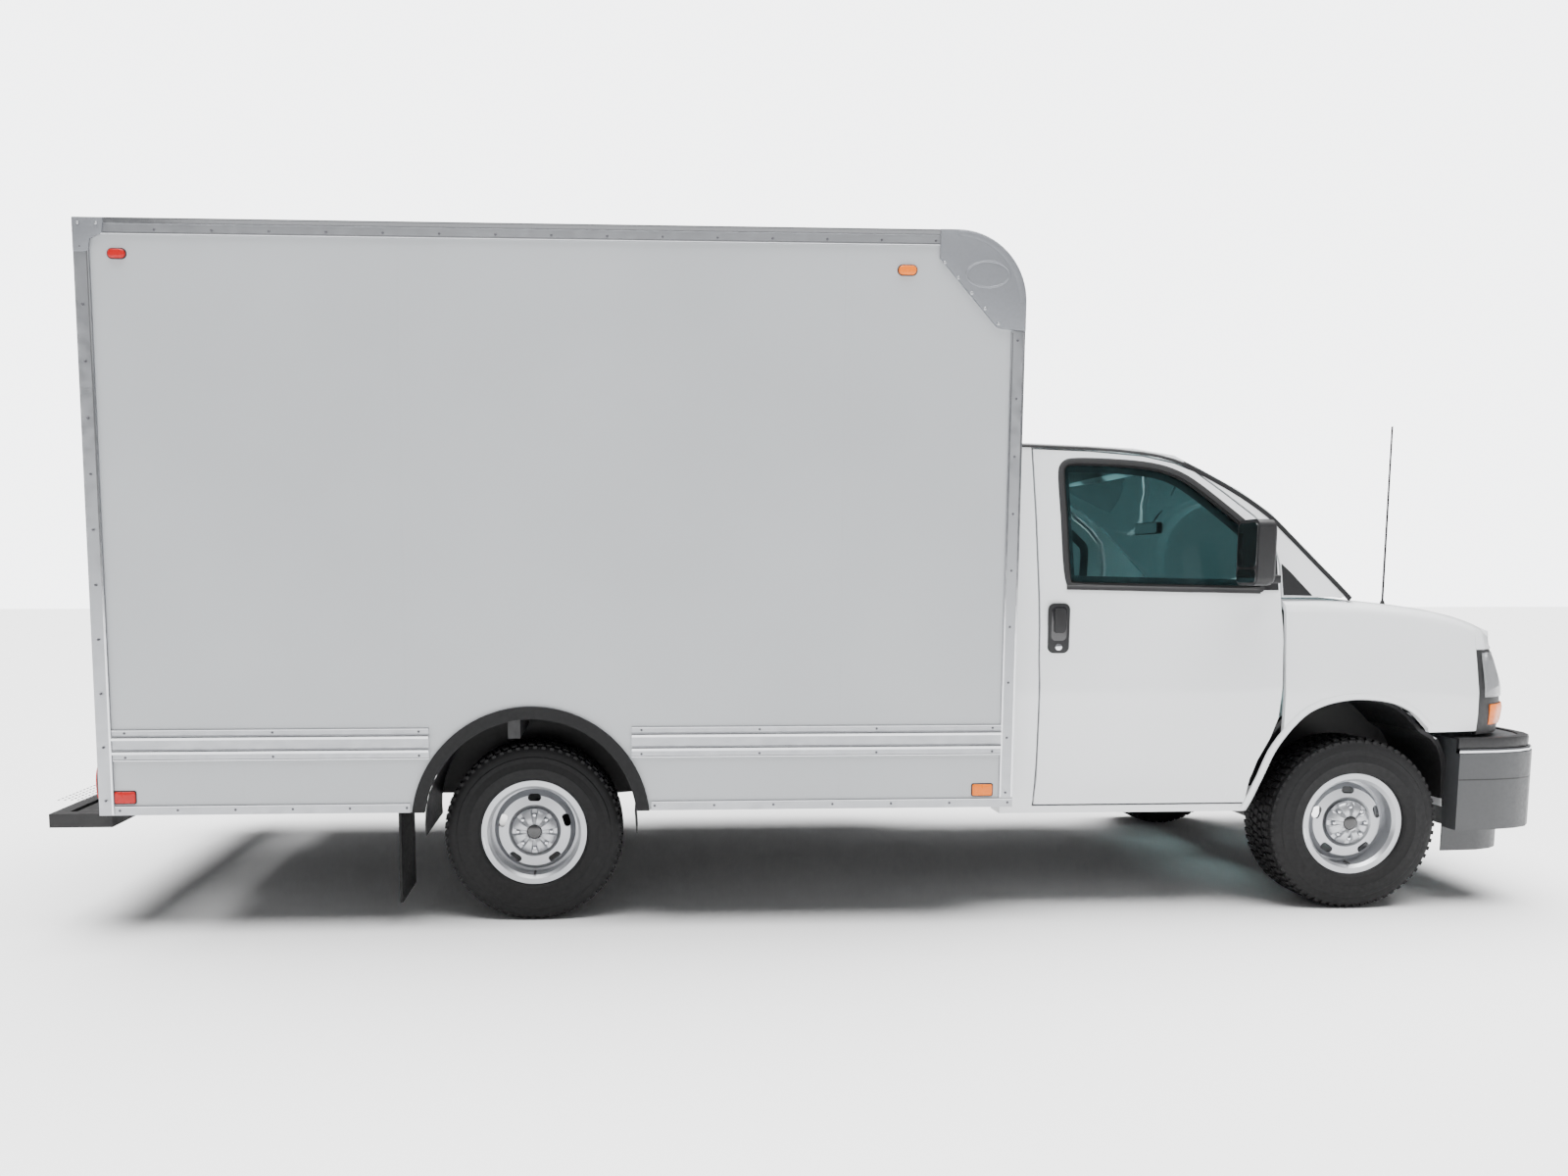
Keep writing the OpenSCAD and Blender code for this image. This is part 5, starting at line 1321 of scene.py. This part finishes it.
# %% A pad blown up as cloth
def puffed(name, verts, faces, cap, voxel=0.011):
    mesh = bpy.data.meshes.new(name)
    mesh.from_pydata([tuple(v) for v in verts], [], faces)
    bm = bmesh.new()
    bm.from_mesh(mesh)
    bmesh.ops.recalc_face_normals(bm, faces=bm.faces)
    bm.to_mesh(mesh)
    bm.free()
    obj = bpy.data.objects.new(name, mesh)
    bpy.context.scene.collection.objects.link(obj)
    even = obj.modifiers.new("even", "REMESH")
    even.mode, even.voxel_size = "VOXEL", voxel
    bpy.context.view_layer.update()
    mesh = bpy.data.meshes.new_from_object(obj.evaluated_get(bpy.context.evaluated_depsgraph_get()))
    obj.modifiers.clear()
    obj.data = mesh
    rest = [v.co.copy() for v in mesh.vertices]
    cloth = obj.modifiers.new("cloth", "CLOTH")
    cloth.settings.use_pressure = True
    cloth.settings.uniform_pressure_force = 4
    cloth.settings.effector_weights.gravity = 0
    cloth.point_cache.frame_start, cloth.point_cache.frame_end = 1, 20
    for frame_number in range(1, 21):
        bpy.context.scene.frame_set(frame_number)
    ready = obj.evaluated_get(bpy.context.evaluated_depsgraph_get())
    moved = [v.co.copy() for v in ready.data.vertices]
    obj.modifiers.clear()
    bpy.context.scene.frame_set(1)
    for v, a, b in zip(mesh.vertices, rest, moved):
        step = b - a
        far = step.length
        v.co = a + step * (min(1, cap / far) if far > 0 else 1)
    bpy.data.objects.remove(obj)
    return mesh

def seat_piece(name, mesh, shift, material, seams=()):
    """A puffed mesh moved into place, subdivided once, with its sewn channels pressed in."""
    bm = bmesh.new()
    bm.from_mesh(mesh)
    bmesh.ops.smooth_vert(bm, verts=bm.verts, factor=0.5, use_axis_x=True, use_axis_y=True, use_axis_z=True)
    bmesh.ops.subdivide_edges(bm, edges=bm.edges, cuts=1, use_grid_fill=True, smooth=0.5)
    bm.normal_update()
    for v in bm.verts:
        sink = sum(0.005 * math.exp(-((v.co.y - y) / 0.006) ** 2) for y in seams)
        v.co -= v.normal * sink
    for v in bm.verts:
        v.co.y += shift
    for f in bm.faces:
        f.smooth = True
    new = bpy.data.meshes.new(name)
    bm.to_mesh(new)
    bm.free()
    new.materials.clear()
    new.materials.append(material)
    obj = bpy.data.objects.new(name, new)
    bpy.context.scene.collection.objects.link(obj)
    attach(obj, chassis)
    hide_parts("seats")
    return obj

# %% The seat's three pads
seat_cloth = finish("seat_cloth", (0.085, 0.087, 0.092), (0.75, 0.9), 60, 0.45, 1400, dusty=0.0,
    Sheen_Weight=0.3)
def bar(outline, y0, y1):
    return plate(outline, y0, y1)

base = puffed("seat_base", *bar([(-1225, 806), (-712, 806), (-704, 848), (-730, 893), (-1140, 877),
    (-1225, 868)], -234, 234), 0.022)
back = puffed("seat_back", *bar([(-1262, 900), (-1172, 900), (-1300, 1466), (-1366, 1466), (-1384, 1430)],
    -232, 232), 0.022)
head = puffed("seat_head", *bar([(-1376, 1496), (-1306, 1496), (-1304, 1674), (-1370, 1674)], -116, 116),
    0.012)
seat_y = 0.39
for label, s in (("left", 1), ("right", -1)):
    seat_piece("seat_base_" + label, base, s * seat_y, seat_cloth, (-0.13, 0.13))
    seat_piece("seat_back_" + label, back, s * seat_y, seat_cloth, (-0.13, 0.13))
    seat_piece("head_rest_" + label, head, s * seat_y, seat_cloth)
    y = s * 390
    frame_parts = [slab((-1190, y - 186, 606), (-810, y + 186, 640)),
        slab((-1180, y - 180, 640), (-830, y - 150, 800)),
        slab((-1180, y + 150, 640), (-830, y + 180, 800)),
        slab((-1200, y - 190, 780), (-800, y + 190, 804))]
    for dy in (-60, 60):
        frame_parts.append(loft([[at(x + 5 * math.cos(a / 8 * math.tau),
            y + dy + 5 * math.sin(a / 8 * math.tau), z)
            for a in range(8)] for x, z in ((-1338, 1440), (-1340, 1510))], closed=False))
    piece("seat_frame_" + label, *together(frame_parts), trim_black, chassis, "black_plastic", bevel=0.003)
print("seats padded")

# %% [markdown]
# ## Last small parts
# The aerial is a dark whip, the wipers lie at the foot of the windshield on a black cowl, and the step
# gets a raised tread set out in rows by the rivet tree, with long flat heads.

# %% Aerial, wipers and step
aerial_low, aerial_x, aerial_y = hood_z(150, 860), 150, -860
piece("aerial_whip", *loft([[at(aerial_x + r * math.cos(math.tau * k / 12),
    aerial_y + r * math.sin(math.tau * k / 12), z)
    for k in range(12)] for z, r in ((aerial_low - 4, 11), (aerial_low + 6, 9), (aerial_low + 16, 4.2),
    (aerial_low + 755, 3.3), (aerial_low + 759, 3.2))], closed=False), trim_black, chassis, "black_plastic")

def on_screen(y, k):
    """A point just above the windshield, k rows up the pillar edge."""
    x, z = lookup(k, list(enumerate([p[0] for p in pillar_edge]))), lookup(k,
        list(enumerate([p[1] for p in pillar_edge])))
    w = half_width(x, z) - 60
    s = y / w
    t = k / 6
    return x + (150 - 75 * t) * (1 - s * s) - 6 + 8, y, z + 14 * t * (1 - s * s) + 8

for label, y0, y1 in (("left", 640, 60), ("right", -80, -660)):
    rings = []
    for k in range(13):
        y = y0 + (y1 - y0) * k / 12
        x, y, z = on_screen(y, 0.35 + 0.25 * k / 12)
        rings.append([at(x + dx, y, z + dz) for dx, dz in ((-4, -4), (5, -3), (5, 5), (-4, 6))])
    piece("wiper_blade_" + label, *loft(rings, closed=False), seal, chassis, "black_rubber")
    rings = []
    for k in range(7):
        y = y0 + (y1 - y0) * (0.02 + 0.5 * k / 6)
        x, y, z = on_screen(y, 0.06 + 0.42 * k / 6)
        rings.append([at(x + dx, y, z + 6 + dz) for dx, dz in ((-5, -3), (5, -3), (5, 4), (-5, 4))])
    piece("wiper_arm_" + label, *loft(rings, closed=False), trim_black, chassis, "black_plastic")
bumps = []
for k in range(5):
    x = step_x0 + 24 + k * 26
    if x < step_x1 - 16:
        bumps.append([at(x, -step_half + 40, step_top + 0.2), at(x, step_half - 40, step_top + 0.2)])
rivet("step_tread", bumps, 0.032, (0.004, 0.010, 0.0018), steel, chassis)
print("small parts done")
